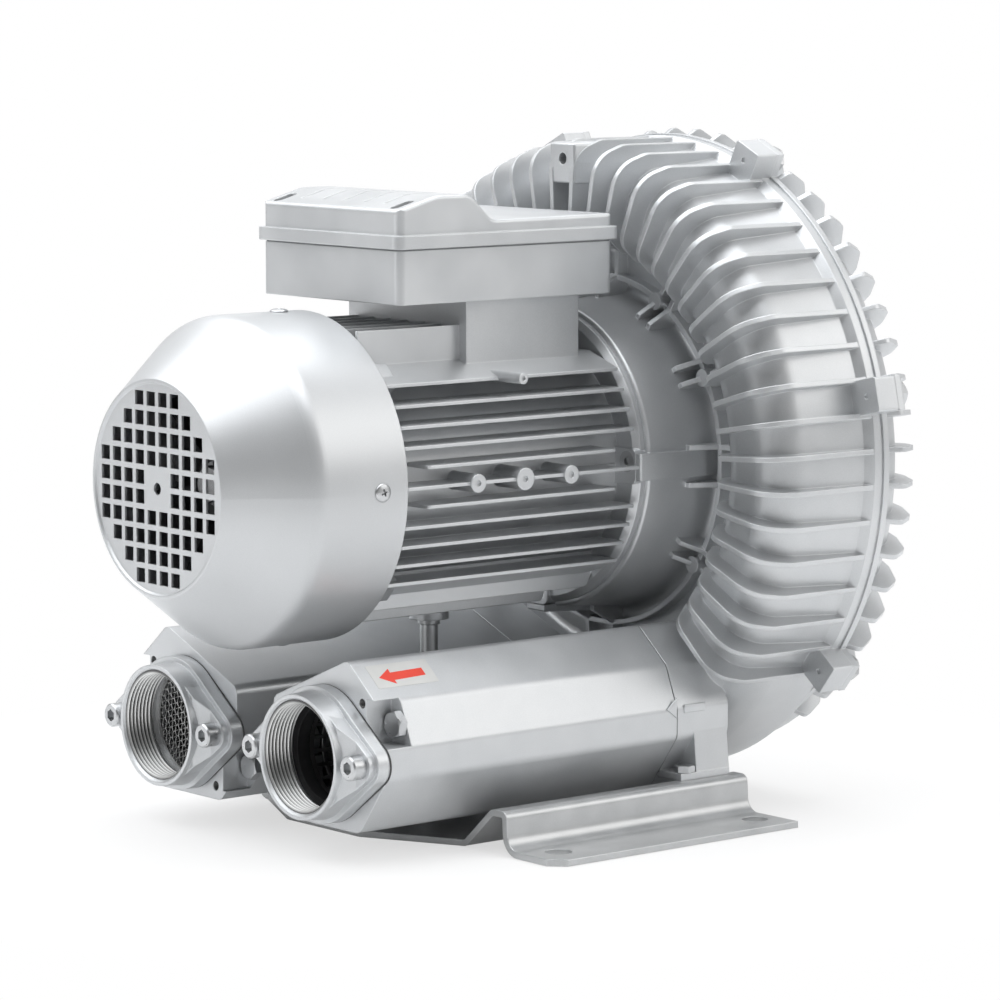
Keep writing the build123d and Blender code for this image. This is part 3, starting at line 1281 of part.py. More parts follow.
def impeller():
    middle = (IMPELLER_FRONT_Y + IMPELLER_BACK_Y) / 2
    half = IMPELLER_DISC_T / 2
    body = turned(
        [
            (IMPELLER_SEAT_R + RING_CLEARANCE, IMPELLER_SEAT_Y + 0.5),
            (IMPELLER_HUB_R, IMPELLER_SEAT_Y + 0.5, 2.0),
            (IMPELLER_HUB_R, middle - half, 4.0),
            (LAND_INNER_R + 3, middle - half, 4.0),
            (LAND_INNER_R + 3, IMPELLER_FRONT_Y),
            (LAND_R - 1, IMPELLER_FRONT_Y),
            (LAND_R + 6, middle - 2),
            (IMPELLER_R - 6, middle - 2),
            (IMPELLER_R - 6, middle + 2),
            (LAND_R + 6, middle + 2),
            (LAND_R - 1, IMPELLER_BACK_Y),
            (LAND_INNER_R + 3, IMPELLER_BACK_Y),
            (LAND_INNER_R + 3, middle + half, 4.0),
            (IMPELLER_HUB_R, middle + half, 4.0),
            (IMPELLER_HUB_R, IMPELLER_SEAT_END_Y + 1, 2.0),
            (IMPELLER_SEAT_R + RING_CLEARANCE, IMPELLER_SEAT_END_Y + 1),
        ]
    )
    plane = Plane(origin=(0, IMPELLER_FRONT_Y + 0.3, AXIS_Z), x_dir=(1, 0, 0), z_dir=(0, -1, 0))
    width = IMPELLER_BACK_Y - IMPELLER_FRONT_Y - 0.6
    blade = extrude(plane * blade_section(), amount=width, dir=(0, 1, 0))
    blades = [around(blade, 360.0 / IMPELLER_BLADES * i) for i in range(IMPELLER_BLADES)]
    body = body.fuse(*[solid for piece in blades for solid in piece.solids()])
    key = key_size()
    body -= block(
        -key["w"] / 2 - 0.05, key["w"] / 2 + 0.05, IMPELLER_SEAT_Y, IMPELLER_SEAT_END_Y + 2,
        AXIS_Z, key["z1"] + 0.3,
    )
    for i in range(6):
        body -= around(rod_y(9.0, IMPELLER_SEAT_Y, IMPELLER_BACK_Y, 70.0), 60.0 * i)
    return body


def impeller_key():
    key = key_size()
    return block(
        -key["w"] / 2 + 0.03, key["w"] / 2 - 0.03, key["y0"] + 0.05, key["y1"] - 0.05, key["z0"] + 0.03, key["z1"]
    )


def impeller_washer():
    y0 = IMPELLER_SEAT_END_Y + 1.0
    return rod_y(IMPELLER_HUB_R - 10, y0, y0 + 3) - rod_y(M8_R + HOLE_CLEARANCE, y0 - 1, y0 + 4)


def impeller_screw():
    return hex_bolt(0, IMPELLER_SEAT_END_Y + 4.0, AXIS_Z, (0, -1, 0), 22.0)


def cooling_fan():
    hub = rod_y(FAN_HUB_R, FAN_FRONT_Y - 5, FAN_BACK_Y) - rod_y(
        FAN_SEAT_R + RING_CLEARANCE, FAN_FRONT_Y - 6, FAN_BACK_Y + 1
    )
    plate = rod_y(FAN_R, FAN_BACK_Y - 2.5, FAN_BACK_Y) - rod_y(FAN_HUB_R - 2, FAN_BACK_Y - 3, FAN_BACK_Y + 1)
    blade = radial_plate(
        [
            (FAN_HUB_R - 1, FAN_FRONT_Y - 2),
            (FAN_R - 8, FAN_FRONT_Y, 6.0),
            (FAN_R, FAN_BACK_Y - 1),
            (FAN_HUB_R - 1, FAN_BACK_Y - 1),
        ],
        2.5,
    )
    blades = [around(blade, 360.0 / FAN_BLADES * i + 10) for i in range(FAN_BLADES)]
    return (hub + plate).fuse(*[solid for piece in blades for solid in piece.solids()])


def fan_circlip():
    y0 = circlip_y() + 0.05
    ring = rod_y(FAN_SEAT_R + 2.2, y0, y0 + 1.2) - rod_y(FAN_SEAT_R - 0.55, y0 - 1, y0 + 2)
    return ring - block(-3, 3, y0 - 1, y0 + 2, AXIS_Z, AXIS_Z + 20)


# Bearings


def race(bearing, y0, inner):
    middle = y0 + bearing["width"] / 2
    groove = bearing["ball_r"] + TRACK_CLEARANCE
    track = Solid.make_torus(
        bearing["pitch_r"], groove, Plane(origin=(0, middle, AXIS_Z), z_dir=(0, 1, 0))
    )
    step = bearing["ball_r"] * 0.55
    if inner:
        ring = rod_y(bearing["pitch_r"] - step, y0, y0 + bearing["width"])
        ring -= rod_y(bearing["bore_r"], y0 - 1, y0 + bearing["width"] + 1)
    else:
        ring = rod_y(bearing["outer_r"] - RING_CLEARANCE, y0, y0 + bearing["width"])
        ring -= rod_y(bearing["pitch_r"] + step, y0 - 1, y0 + bearing["width"] + 1)
    return ring - track


def ball_places(bearing, y0):
    middle = y0 + bearing["width"] / 2
    for i in range(BALLS):
        angle = 2 * pi * i / BALLS
        yield bearing["pitch_r"] * cos(angle), middle, AXIS_Z + bearing["pitch_r"] * sin(angle)


def balls(bearing, y0):
    return [Pos(*place) * Sphere(bearing["ball_r"]) for place in ball_places(bearing, y0)]


def cage(bearing, y0):
    middle = y0 + bearing["width"] / 2
    half = bearing["ball_r"] * 1.3
    wall = bearing["ball_r"] * 0.28
    ring = rod_y(bearing["pitch_r"] + wall, middle - half, middle + half)
    ring -= rod_y(bearing["pitch_r"] - wall, middle - half - 1, middle + half + 1)
    for i in range(BALLS):
        pocket = rod_x(bearing["ball_r"] + 0.12, 1.0, bearing["outer_r"], middle, AXIS_Z)
        ring -= around(pocket, 360.0 / BALLS * i)
    return ring


def shaft_seal():
    y1 = SEAL_Y + SEAL_WIDTH
    ring = rod_y(SEAL_R - SPIGOT_CLEARANCE, SEAL_Y, y1)
    return ring - rod_y(LARGE_BEARING["bore_r"] + 0.05, SEAL_Y - 1, y1 + 1)


def wave_spring():
    y0 = SMALL_BEARING_Y - 2.0
    ring = rod_y(SMALL_BEARING["outer_r"] - 0.3, y0, SMALL_BEARING_Y)
    return ring - rod_y(SMALL_BEARING["outer_r"] - 4.5, y0 - 1, SMALL_BEARING_Y + 1)


# Terminal box


def box_slab(inset, z0, z1, corner):
    """Rounded rectangle of the terminal box, taken in by inset."""
    x = BOX_X - inset
    y0, y1 = BOX_FRONT_Y + inset, BOX_BACK_Y - inset
    corners = [(-x, y0, corner), (x, y0, corner), (x, y1, corner), (-x, y1, corner)]
    return extrude(Plane.XY.offset(z0) * make_face(loop(corners)), amount=z1 - z0)


def lid_screw_places():
    return [
        (sx * (BOX_X - LID_SCREW_INSET), y)
        for sx in (-1, 1)
        for y in (BOX_FRONT_Y + LID_SCREW_INSET, BOX_BACK_Y - LID_SCREW_INSET)
    ]


def terminal_box():
    body = box_slab(0, BOX_BOTTOM_Z, BOX_LIP_Z, BOX_CORNER_R)
    hollow = box_slab(BOX_WALL, BOX_BOTTOM_Z + BOX_WALL, BOX_LIP_Z + 1, BOX_CORNER_R - BOX_WALL)
    for x, y in lid_screw_places():
        hollow -= rod_z(LID_BOSS_R, BOX_BOTTOM_Z, BOX_LIP_Z + 2, x, y)
    body -= hollow
    for x, y in lid_screw_places():
        body -= rod_z(LID_SCREW_R, BOX_LIP_Z - 12, BOX_LIP_Z + 1, x, y)
    body -= block(
        -NECK_BOX_X + 14, NECK_BOX_X - 14, NECK_BOX_FRONT_Y + 14, NECK_BOX_BACK_Y - 14,
        BOX_BOTTOM_Z - 1, BOX_BOTTOM_Z + BOX_WALL + 1,
    )
    for x, y in neck_screw_places():
        body -= rod_z(M5_R + 0.3, BOX_BOTTOM_Z - 1, BOX_BOTTOM_Z + BOX_WALL + 1, x, y)
    for y in (GLAND_Y, PLUG_Y):
        body -= rod_x(GLAND_R, -BOX_X - 1, -BOX_X + BOX_WALL + 1, y, gland_z())
    return body


def gland_z():
    return (BOX_BOTTOM_Z + BOX_LIP_Z) / 2 + 1.0


def terminal_box_seals():
    under = block(
        -NECK_BOX_X + 0.5, NECK_BOX_X - 0.5, NECK_BOX_FRONT_Y + 0.5, NECK_BOX_BACK_Y - 0.5,
        BOX_BOTTOM_Z - GASKET_T, BOX_BOTTOM_Z,
    )
    under -= block(
        -NECK_BOX_X + 9, NECK_BOX_X - 9, NECK_BOX_FRONT_Y + 9, NECK_BOX_BACK_Y - 9,
        BOX_BOTTOM_Z - 2, BOX_BOTTOM_Z + 1,
    )
    for x, y in neck_screw_places():
        under -= rod_z(M5_R + 0.3, BOX_BOTTOM_Z - 2, BOX_BOTTOM_Z + 1, x, y)
    z0 = BOX_LIP_Z
    rim = box_slab(0.5, z0, z0 + BOX_SEAL_T, BOX_CORNER_R - 0.5) - box_slab(
        BOX_WALL, z0 - 1, z0 + BOX_SEAL_T + 1, BOX_CORNER_R - BOX_WALL
    )
    return [under, rim]


def lid_profile(z0, y1, half_x, edge):
    """Lid body with its raised front part, as wide as twice half_x."""
    (front_y, front_z), (rise_y, peak_z), (peak_y, _), (foot_y, foot_z) = LID_TOP
    section = [
        (BOX_FRONT_Y, z0),
        (BOX_FRONT_Y, front_z, 3.0),
        (rise_y, peak_z, 20.0),
        (peak_y, peak_z, 12.0),
        (foot_y, foot_z, 8.0),
        (y1, foot_z + 0.5, 3.0),
        (y1, z0),
    ]
    solid = extrude(Plane.YZ.offset(-half_x) * make_face(loop(section)), amount=2 * half_x, dir=(1, 0, 0))
    if not edge:
        return solid
    rim = [e for e in solid.edges() if abs(abs(e.center().X) - half_x) < 0.01 and e.center().Z > foot_z - 3]
    return fillet(rim, edge)


def lid_slot(x, y, grow, z0, z1):
    """Long round slot over one lid screw, running along Y."""
    reach = (SLOT_LENGTH - SLOT_WIDTH) / 2
    half = SLOT_WIDTH / 2 + grow
    slot = block(x - half, x + half, y - reach, y + reach, z0, z1)
    return slot + rod_z(half, z0, z1, x, y - reach) + rod_z(half, z0, z1, x, y + reach)


def terminal_box_lid():
    z0 = BOX_LIP_Z + BOX_SEAL_T
    top = lid_profile(z0, BOX_BACK_Y, BOX_X, 2.0) & box_slab(0, z0, z0 + 40, BOX_CORNER_R)
    body = top + box_slab(-LIP_OUT, z0, BAND_TOP_Z, BOX_CORNER_R + LIP_OUT - 1.5)
    lowered = Pos(0, 0, -CREASE_DEPTH) * lid_profile(z0 - 5, BOX_BACK_Y, BOX_X + 5, 0.0)
    for x in CREASE_XS:
        strip = block(
            x - CREASE_W / 2, x + CREASE_W / 2, BOX_FRONT_Y + 9, LID_TOP[3][0] - 6, z0 + 12, z0 + 40
        )
        body -= strip - lowered
    inner = Pos(0, 0, -LID_WALL) * lid_profile(z0 - 5, BOX_BACK_Y, BOX_X + 5, 0.0)
    hollow = inner & box_slab(BOX_WALL, z0 - 1, z0 + 40, 1.0)
    for x, y in lid_screw_places():
        hollow -= lid_slot(x, y, 2.5, z0 - 2, z0 + 40)
    body -= hollow
    for x, y in lid_screw_places():
        body -= rod_z(LID_SCREW_R + 0.4, z0 - 1, SCREW_SEAT_Z + 1, x, y)
        body -= lid_slot(x, y, 0.0, SCREW_SEAT_Z, z0 + 40)
    return body


def lid_screws():
    length = SCREW_SEAT_Z - BOX_LIP_Z + 8.0
    return [
        pan_screw(x, y, SCREW_SEAT_Z, (0, 0, -1), LID_SCREW_HEAD_R, LID_SCREW_R, length)
        for x, y in lid_screw_places()
    ]


def terminal_box_screws():
    return [
        pan_screw(x, y, BOX_BOTTOM_Z + BOX_WALL, (0, 0, -1), 4.6, M5_R, 16.0) for x, y in neck_screw_places()
    ]


def capacitor_z():
    return BOX_BOTTOM_Z + BOX_WALL + CAPACITOR_R + 0.3


def capacitors():
    y0 = BOX_FRONT_Y + BOX_WALL + 6.0
    cans = []
    for x in CAPACITOR_XS:
        can = rod_y(CAPACITOR_R, y0, y0 + CAPACITOR_LENGTH, x, capacitor_z())
        can = fillet(can.edges().filter_by(GeomType.CIRCLE), 2.0)
        for dx in (-6.0, 6.0):
            can += block(
                x + dx - 3, x + dx + 3, y0 + CAPACITOR_LENGTH - 1, y0 + CAPACITOR_LENGTH + 9,
                capacitor_z() - 0.4, capacitor_z() + 0.4,
            )
        cans.append(can)
    return cans


def capacitor_straps():
    y0 = BOX_FRONT_Y + BOX_WALL + 40.0
    straps = []
    base = BOX_BOTTOM_Z + BOX_WALL
    for x in CAPACITOR_XS:
        hoop = rod_y(CAPACITOR_R + 1.2, y0, y0 + 10, x, capacitor_z()) - rod_y(
            CAPACITOR_R + 0.1, y0 - 1, y0 + 11, x, capacitor_z()
        )
        hoop &= block(x - 40, x + 40, y0, y0 + 10, base, capacitor_z() + 40)
        straps.append(hoop)
    return straps


def terminal_block():
    x0, x1 = -34.0, 34.0
    y0 = BOX_BACK_Y - BOX_WALL - 22.0
    z0 = BOX_BOTTOM_Z + BOX_WALL
    body = block(x0, x1, y0, y0 + 18, z0, z0 + 12)
    for i in range(5):
        x = x0 + (i + 1) * (x1 - x0) / 6
        body += block(x - 0.9, x + 0.9, y0, y0 + 18, z0 + 12, z0 + 17)
    for x in terminal_xs():
        body -= rod_z(M5_R, z0 + 4, z0 + 13, x, y0 + 9)
    return body


def terminal_xs():
    return [-34.0 + (i + 0.5) * 68.0 / 6 for i in range(6)]


def terminal_studs():
    y = BOX_BACK_Y - BOX_WALL - 13.0
    z0 = BOX_BOTTOM_Z + BOX_WALL
    studs = []
    for x in terminal_xs():
        stud = rod_z(M5_R - THREAD_GAP, z0 + 4, z0 + 24, x, y)
        studs.append(stud + hexagon(facing(x, y, z0 + 12, (0, 0, 1)), 8.0, 4.0))
    return studs


def cable_gland():
    z = gland_z()
    wall_x = -BOX_X
    body = rod_x(GLAND_R - 0.1, wall_x - 2, wall_x + BOX_WALL + 10, GLAND_Y, z)
    body += hexagon(facing(wall_x, GLAND_Y, z, (-1, 0, 0)), 24.0, 6.0)
    body += rod_x(11.0, wall_x - 12, wall_x - 5, GLAND_Y, z)
    dome = Solid.make_cone(11.0, 7.5, 6.0, facing(wall_x - 12, GLAND_Y, z, (-1, 0, 0)))
    nut = hexagon(facing(wall_x + BOX_WALL, GLAND_Y, z, (1, 0, 0)), 20.0, 4.0)
    body = body + dome + nut
    return body - rod_x(5.0, wall_x - 20, wall_x + 20, GLAND_Y, z)


def blanking_plug():
    z = gland_z()
    body = rod_x(GLAND_R - 0.1, -BOX_X - 1, -BOX_X + BOX_WALL + 5, PLUG_Y, z)
    cap = rod_x(GLAND_R + 3, -BOX_X - 3.5, -BOX_X, PLUG_Y, z)
    nut = hexagon(facing(-BOX_X + BOX_WALL, PLUG_Y, z, (1, 0, 0)), 20.0, 3.0)
    slot = block(-BOX_X - 5, -BOX_X - 2, PLUG_Y - 10, PLUG_Y + 10, z - 1.2, z + 1.2)
    return body + cap + nut - slot


# All nodes


save("base_bracket", base_bracket())
save("base_bolts", base_bolts())
save("motor_support_post", motor_support_post())
save("blower_housing", blower_housing())
save("blower_cover", blower_cover())
save("housing_seal", o_ring(0))
save("housing_bolts", housing_bolts())
for name, side in (("inlet", -1), ("outlet", 1)):
    save(f"{name}_silencer", silencer(side))
    save(f"{name}_flange", port_flange(side))
save("silencer_gaskets", [silencer_gasket(side) for side in (-1, 1)])
save("silencer_bolts", silencer_bolts())
save("flange_gaskets", [flange_gasket(side) for side in (-1, 1)])
save("flange_screws", flange_screws())
save("inlet_screen", inlet_screen())
save("outlet_seal_ring", outlet_seal_ring())
save("perforated_tubes", perforated_tubes())
save("silencer_liners", [silencer_liner(side) for side in (-1, 1)])
save("motor_frame", motor_frame())
save("motor_flange_bolts", motor_flange_bolts())
save("stator_core", stator_core())
save("stator_windings", stator_windings())
save("fan_endshield", fan_endshield())
save("endshield_bolts", endshield_bolts())
save("fan_cover", fan_cover())
save("fan_cover_screws", fan_cover_screws())
save("motor_shaft", motor_shaft())
save("rotor_core", rotor_core())
save("rotor_end_rings", rotor_end_rings())
save("impeller", impeller())
save("impeller_key", impeller_key())
save("impeller_washer", impeller_washer())
save("impeller_screw", impeller_screw())
save("cooling_fan", cooling_fan())
save("fan_circlip", fan_circlip())
save("shaft_seal", shaft_seal())
save("bearing_wave_spring", wave_spring())
for name, bearing, y0 in (
    ("drive_bearing", LARGE_BEARING, LARGE_BEARING_Y),
    ("fan_bearing", SMALL_BEARING, SMALL_BEARING_Y),
):
    save(f"{name}_inner_ring", race(bearing, y0, True))
    save(f"{name}_outer_ring", race(bearing, y0, False))
    save(f"{name}_balls", balls(bearing, y0))
    save(f"{name}_cage", cage(bearing, y0))
save("terminal_box", terminal_box())
save("terminal_box_seals", terminal_box_seals())
save("terminal_box_lid", terminal_box_lid())
save("lid_screws", lid_screws())
save("terminal_box_screws", terminal_box_screws())
save("capacitors", capacitors())
save("capacitor_straps", capacitor_straps())
save("terminal_block", terminal_block())
save("terminal_studs", terminal_studs())
save("cable_gland", cable_gland())
save("blanking_plug", blanking_plug())
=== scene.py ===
"""Side channel blower: finishes, small fittings, light and camera round the CAD model."""
import json
import math
import bmesh
import bpy
from mathutils import Matrix, Vector


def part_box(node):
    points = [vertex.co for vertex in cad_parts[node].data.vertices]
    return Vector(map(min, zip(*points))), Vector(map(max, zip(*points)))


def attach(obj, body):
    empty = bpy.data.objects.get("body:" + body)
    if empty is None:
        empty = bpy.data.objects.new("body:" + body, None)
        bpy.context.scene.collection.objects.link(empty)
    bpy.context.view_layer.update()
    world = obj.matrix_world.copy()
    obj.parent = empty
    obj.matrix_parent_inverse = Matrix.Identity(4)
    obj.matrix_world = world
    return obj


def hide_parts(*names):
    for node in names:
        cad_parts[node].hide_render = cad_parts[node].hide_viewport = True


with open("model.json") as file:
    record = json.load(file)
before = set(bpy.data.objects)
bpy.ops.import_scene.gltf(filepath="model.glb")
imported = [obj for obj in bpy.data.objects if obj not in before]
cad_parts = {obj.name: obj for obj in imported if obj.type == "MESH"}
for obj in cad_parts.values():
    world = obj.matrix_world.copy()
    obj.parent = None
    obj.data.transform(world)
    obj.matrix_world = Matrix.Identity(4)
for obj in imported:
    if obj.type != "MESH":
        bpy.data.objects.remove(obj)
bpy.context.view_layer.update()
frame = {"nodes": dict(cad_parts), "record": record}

MM = 0.001
NODES = frame["nodes"]
MACHINE = "machine"

# Places on the machine, in millimetres
MOTOR_AXIS_Z = 193.0
PORT_X = 63.5
PORT_Z = 55.0
PORT_FRONT_Y = -180.0
PORT_BORE_R = 29.8
SILENCER_FRONT_Y = -160.0


# Node trees


def add(tree, kind, inputs=None, **settings):
    """Adds a node, sets its options, and gives each input a value or a link."""
    made = tree.nodes.new(kind)
    for name, value in settings.items():
        setattr(made, name, value)
    for name, value in (inputs or {}).items():
        socket = made.inputs[name]
        if isinstance(value, bpy.types.NodeSocket):
            tree.links.new(value, socket)
        else:
            socket.default_value = value
    return made


def maths(tree, operation, first, second=0.0):
    return add(tree, "ShaderNodeMath", {0: first, 1: second}, operation=operation).outputs[0]


def spread(tree, value, low, high, to_low, to_high):
    """Maps low..high of a value to to_low..to_high."""
    made = add(
        tree,
        "ShaderNodeMapRange",
        {"Value": value, "From Min": low, "From Max": high, "To Min": to_low, "To Max": to_high},
    )
    return made.outputs["Result"]


def blend_colours(tree, factor, first, second):
    made = add(tree, "ShaderNodeMix", data_type="RGBA")
    for index, value in ((0, factor), (6, first), (7, second)):
        if isinstance(value, bpy.types.NodeSocket):
            tree.links.new(value, made.inputs[index])
        elif index:
            made.inputs[index].default_value = (*value, 1.0)
        else:
            made.inputs[index].default_value = value
    return made.outputs[2]


def shader_group(name, takes, gives):
    """An empty shader group with named sockets."""
    tree = bpy.data.node_groups.new(name, "ShaderNodeTree")
    for label, value in takes:
        socket = tree.interface.new_socket(label, in_out="INPUT", socket_type="NodeSocketFloat")
        socket.default_value = value
    for label, kind in gives:
        tree.interface.new_socket(label, in_out="OUTPUT", socket_type=kind)
    return tree, tree.nodes.new("NodeGroupInput").outputs, tree.nodes.new("NodeGroupOutput").inputs


def noise(tree, vector, scale, detail=2.0, roughness=0.5):
    inputs = {"Vector": vector, "Scale": scale, "Detail": detail, "Roughness": roughness}
    return add(tree, "ShaderNodeTexNoise", inputs).outputs["Fac"]


def spray_grain_group():
    """Fine pebble of sprayed paint over the slow waves of a casting's skin."""
    tree, takes, gives = shader_group(
        "spray_grain",
        (("Grain Size", 0.0009), ("Wave Size", 0.03), ("Wave Share", 1.5)),
        (("Height", "NodeSocketFloat"), ("Tone", "NodeSocketFloat"), ("Fleck", "NodeSocketFloat")),
    )
    place = add(tree, "ShaderNodeTexCoord").outputs["Object"]
    fine = noise(tree, place, maths(tree, "DIVIDE", 1.0, takes["Grain Size"]), 3.0, 0.6)
    slow = noise(tree, place, maths(tree, "DIVIDE", 1.0, takes["Wave Size"]), 2.0, 0.45)
    fleck = noise(tree, place, maths(tree, "DIVIDE", 2.6, takes["Grain Size"]), 1.0, 0.5)
    height = maths(tree, "ADD", fine, maths(tree, "MULTIPLY", slow, takes["Wave Share"]))
    tree.links.new(height, gives["Height"])
    tree.links.new(slow, gives["Tone"])
    tree.links.new(fleck, gives["Fleck"])
    return tree


def soft_edge_group():
    """Rounds sharp edges in the shading, and marks them."""
    tree, takes, gives = shader_group(
        "soft_edge",
        (("Radius", 0.0008), ("Edge Gain", 6.0)),
        (("Normal", "NodeSocketVector"), ("Edge", "NodeSocketFloat")),
    )
    rounded = add(tree, "ShaderNodeBevel", {"Radius": takes["Radius"]}, samples=6).outputs[0]
    flat = add(tree, "ShaderNodeNewGeometry").outputs["Normal"]
    same = add(tree, "ShaderNodeVectorMath", {0: rounded, 1: flat}, operation="DOT_PRODUCT")
    turned = maths(tree, "SUBTRACT", 1.0, same.outputs["Value"])
    gained = maths(tree, "MULTIPLY", turned, takes["Edge Gain"])
    tree.links.new(rounded, gives["Normal"])
    tree.links.new(maths(tree, "MINIMUM", gained, 1.0), gives["Edge"])
    return tree


def rubbed_streak_group():
    """Long faint streaks, as rolling and handling leave them."""
    tree, takes, gives = shader_group(
        "rubbed_streak",
        (("Across", 900.0), ("Along", 14.0)),
        (("Streak", "NodeSocketFloat"), ("Blotch", "NodeSocketFloat")),
    )
    place = add(tree, "ShaderNodeTexCoord").outputs["Object"]
    scale = add(
        tree,
        "ShaderNodeCombineXYZ",
        {"X": takes["Across"], "Y": takes["Along"], "Z": takes["Across"]},
    ).outputs[0]
    drawn = add(tree, "ShaderNodeVectorMath", {0: place, 1: scale}, operation="MULTIPLY")
    tree.links.new(noise(tree, drawn.outputs[0], 1.0, 2.0), gives["Streak"])
    tree.links.new(noise(tree, place, 42.0, 3.0, 0.6), gives["Blotch"])
    return tree


SPRAY_GRAIN = spray_grain_group()
SOFT_EDGE = soft_edge_group()
RUBBED_STREAK = rubbed_streak_group()


def grouped(tree, group, **values):
    made = tree.nodes.new("ShaderNodeGroup")
    made.node_tree = group
    for name, value in values.items():
        made.inputs[name.replace("_", " ").title()].default_value = value
    return made.outputs


def new_material(name):
    made = bpy.data.materials.new(name)
    made.use_nodes = True
    tree = made.node_tree
    return made, tree, tree.nodes["Principled BSDF"]


def bumped(tree, height, normal, depth):
    return add(
        tree, "ShaderNodeBump", {"Height": height, "Distance": depth, "Normal": normal}
    ).outputs["Normal"]


FLECK_COLOUR = (0.80, 0.81, 0.82)
# Lighter colours laid on sharp rims: a painted highlight, and partly wear
PAINT_RIM_HIGHLIGHT_AND_WEAR = (0.78, 0.79, 0.80)
METAL_RIM_HIGHLIGHT_AND_WEAR = (0.86, 0.86, 0.85)


def silver_paint(name, dark, light, metallic, rough, grain, depth, edge, wave=0.03, wave_share=1.5):
    """Sprayed aluminium paint: fine grain, slow tone changes, rims lightened in colour as a painted
    highlight and partly as wear.
    """
    made, tree, shader = new_material(name)
    skin = grouped(tree, SPRAY_GRAIN, grain_size=grain, wave_size=wave, wave_share=wave_share)
    rim = grouped(tree, SOFT_EDGE, radius=edge)
    tone = spread(tree, skin["Tone"], 0.3, 0.7, 0.0, 1.0)
    colour = blend_colours(tree, tone, dark, light)
    fleck = spread(tree, skin["Fleck"], 0.35, 0.7, 0.0, 0.22)
    colour = blend_colours(tree, fleck, colour, FLECK_COLOUR)
    # Rims lightened in colour: painted highlight, and partly wear
    colour = blend_colours(tree, maths(tree, "MULTIPLY", rim["Edge"], 0.45), colour, PAINT_RIM_HIGHLIGHT_AND_WEAR)
    tree.links.new(colour, shader.inputs["Base Color"])
    shader.inputs["Metallic"].default_value = metallic
    uneven = maths(tree, "ADD", skin["Fleck"], skin["Tone"])
    tree.links.new(spread(tree, uneven, 0.6, 1.4, rough - 0.05, rough + 0.06), shader.inputs["Roughness"])
    tree.links.new(bumped(tree, skin["Height"], rim["Normal"], depth), shader.inputs["Normal"])
    return made


def bare_metal(name, dark, light, rough, across, along, edge=0.0003, depth=0.000006):
    """Uncoated metal with faint drawing lines, so many to the metre across and along Y, and rims lightened
    in colour as a painted highlight and partly as wear.
    """
    made, tree, shader = new_material(name)
    marks = grouped(tree, RUBBED_STREAK, across=across, along=along)
    rim = grouped(tree, SOFT_EDGE, radius=edge)
    colour = blend_colours(tree, spread(tree, marks["Blotch"], 0.3, 0.7, 0.0, 1.0), dark, light)
    # Rims lightened in colour: painted highlight, and partly wear
    colour = blend_colours(tree, maths(tree, "MULTIPLY", rim["Edge"], 0.35), colour, METAL_RIM_HIGHLIGHT_AND_WEAR)
    tree.links.new(colour, shader.inputs["Base Color"])
    shader.inputs["Metallic"].default_value = 1.0
    tree.links.new(
        spread(tree, marks["Streak"], 0.3, 0.7, rough - 0.06, rough + 0.08), shader.inputs["Roughness"]
    )
    tree.links.new(bumped(tree, marks["Streak"], rim["Normal"], depth), shader.inputs["Normal"])
    return made


def moulded(name, dark, light, rough, grain=0.0006, depth=0.00002):
    """Plastic, rubber, felt or fibre: a matt skin with a moulded or pressed grain."""
    made, tree, shader = new_material(name)
    skin = grouped(tree, SPRAY_GRAIN, grain_size=grain, wave_size=0.012, wave_share=0.6)
    rim = grouped(tree, SOFT_EDGE, radius=0.0004)
    colour = blend_colours(tree, spread(tree, skin["Tone"], 0.3, 0.7, 0.0, 1.0), dark, light)
    tree.links.new(colour, shader.inputs["Base Color"])
    shader.inputs["Metallic"].default_value = 0.0
    shader.inputs["Specular IOR Level"].default_value = 0.5
    uneven = spread(tree, skin["Fleck"], 0.3, 0.7, rough - 0.06, rough + 0.06)
    tree.links.new(uneven, shader.inputs["Roughness"])
    tree.links.new(bumped(tree, skin["Height"], rim["Normal"], depth), shader.inputs["Normal"])
    return made


def paints():
    """The machine's silver paint on castings, on spun sheet and on the foot, and over its seams."""
    return (
        silver_paint(
            "painted_casting", dark=(0.55, 0.563, 0.575), light=(0.62, 0.63, 0.64),
            metallic=0.66, rough=0.38, grain=0.0010, depth=0.00003, edge=0.0009,
        ),
        silver_paint(
            "painted_sheet", dark=(0.53, 0.54, 0.55), light=(0.58, 0.59, 0.60),
            metallic=0.66, rough=0.40, grain=0.0006, depth=0.00001, edge=0.0006,
            wave=0.06, wave_share=0.4,
        ),
        silver_paint(
            "painted_foot", dark=(0.46, 0.468, 0.472), light=(0.55, 0.556, 0.56),
            metallic=0.70, rough=0.34, grain=0.0008, depth=0.00002, edge=0.0010,
            wave=0.02, wave_share=1.0,
        ),
        moulded("painted_seam", (0.24, 0.245, 0.25), (0.32, 0.325, 0.33), 0.5),
    )


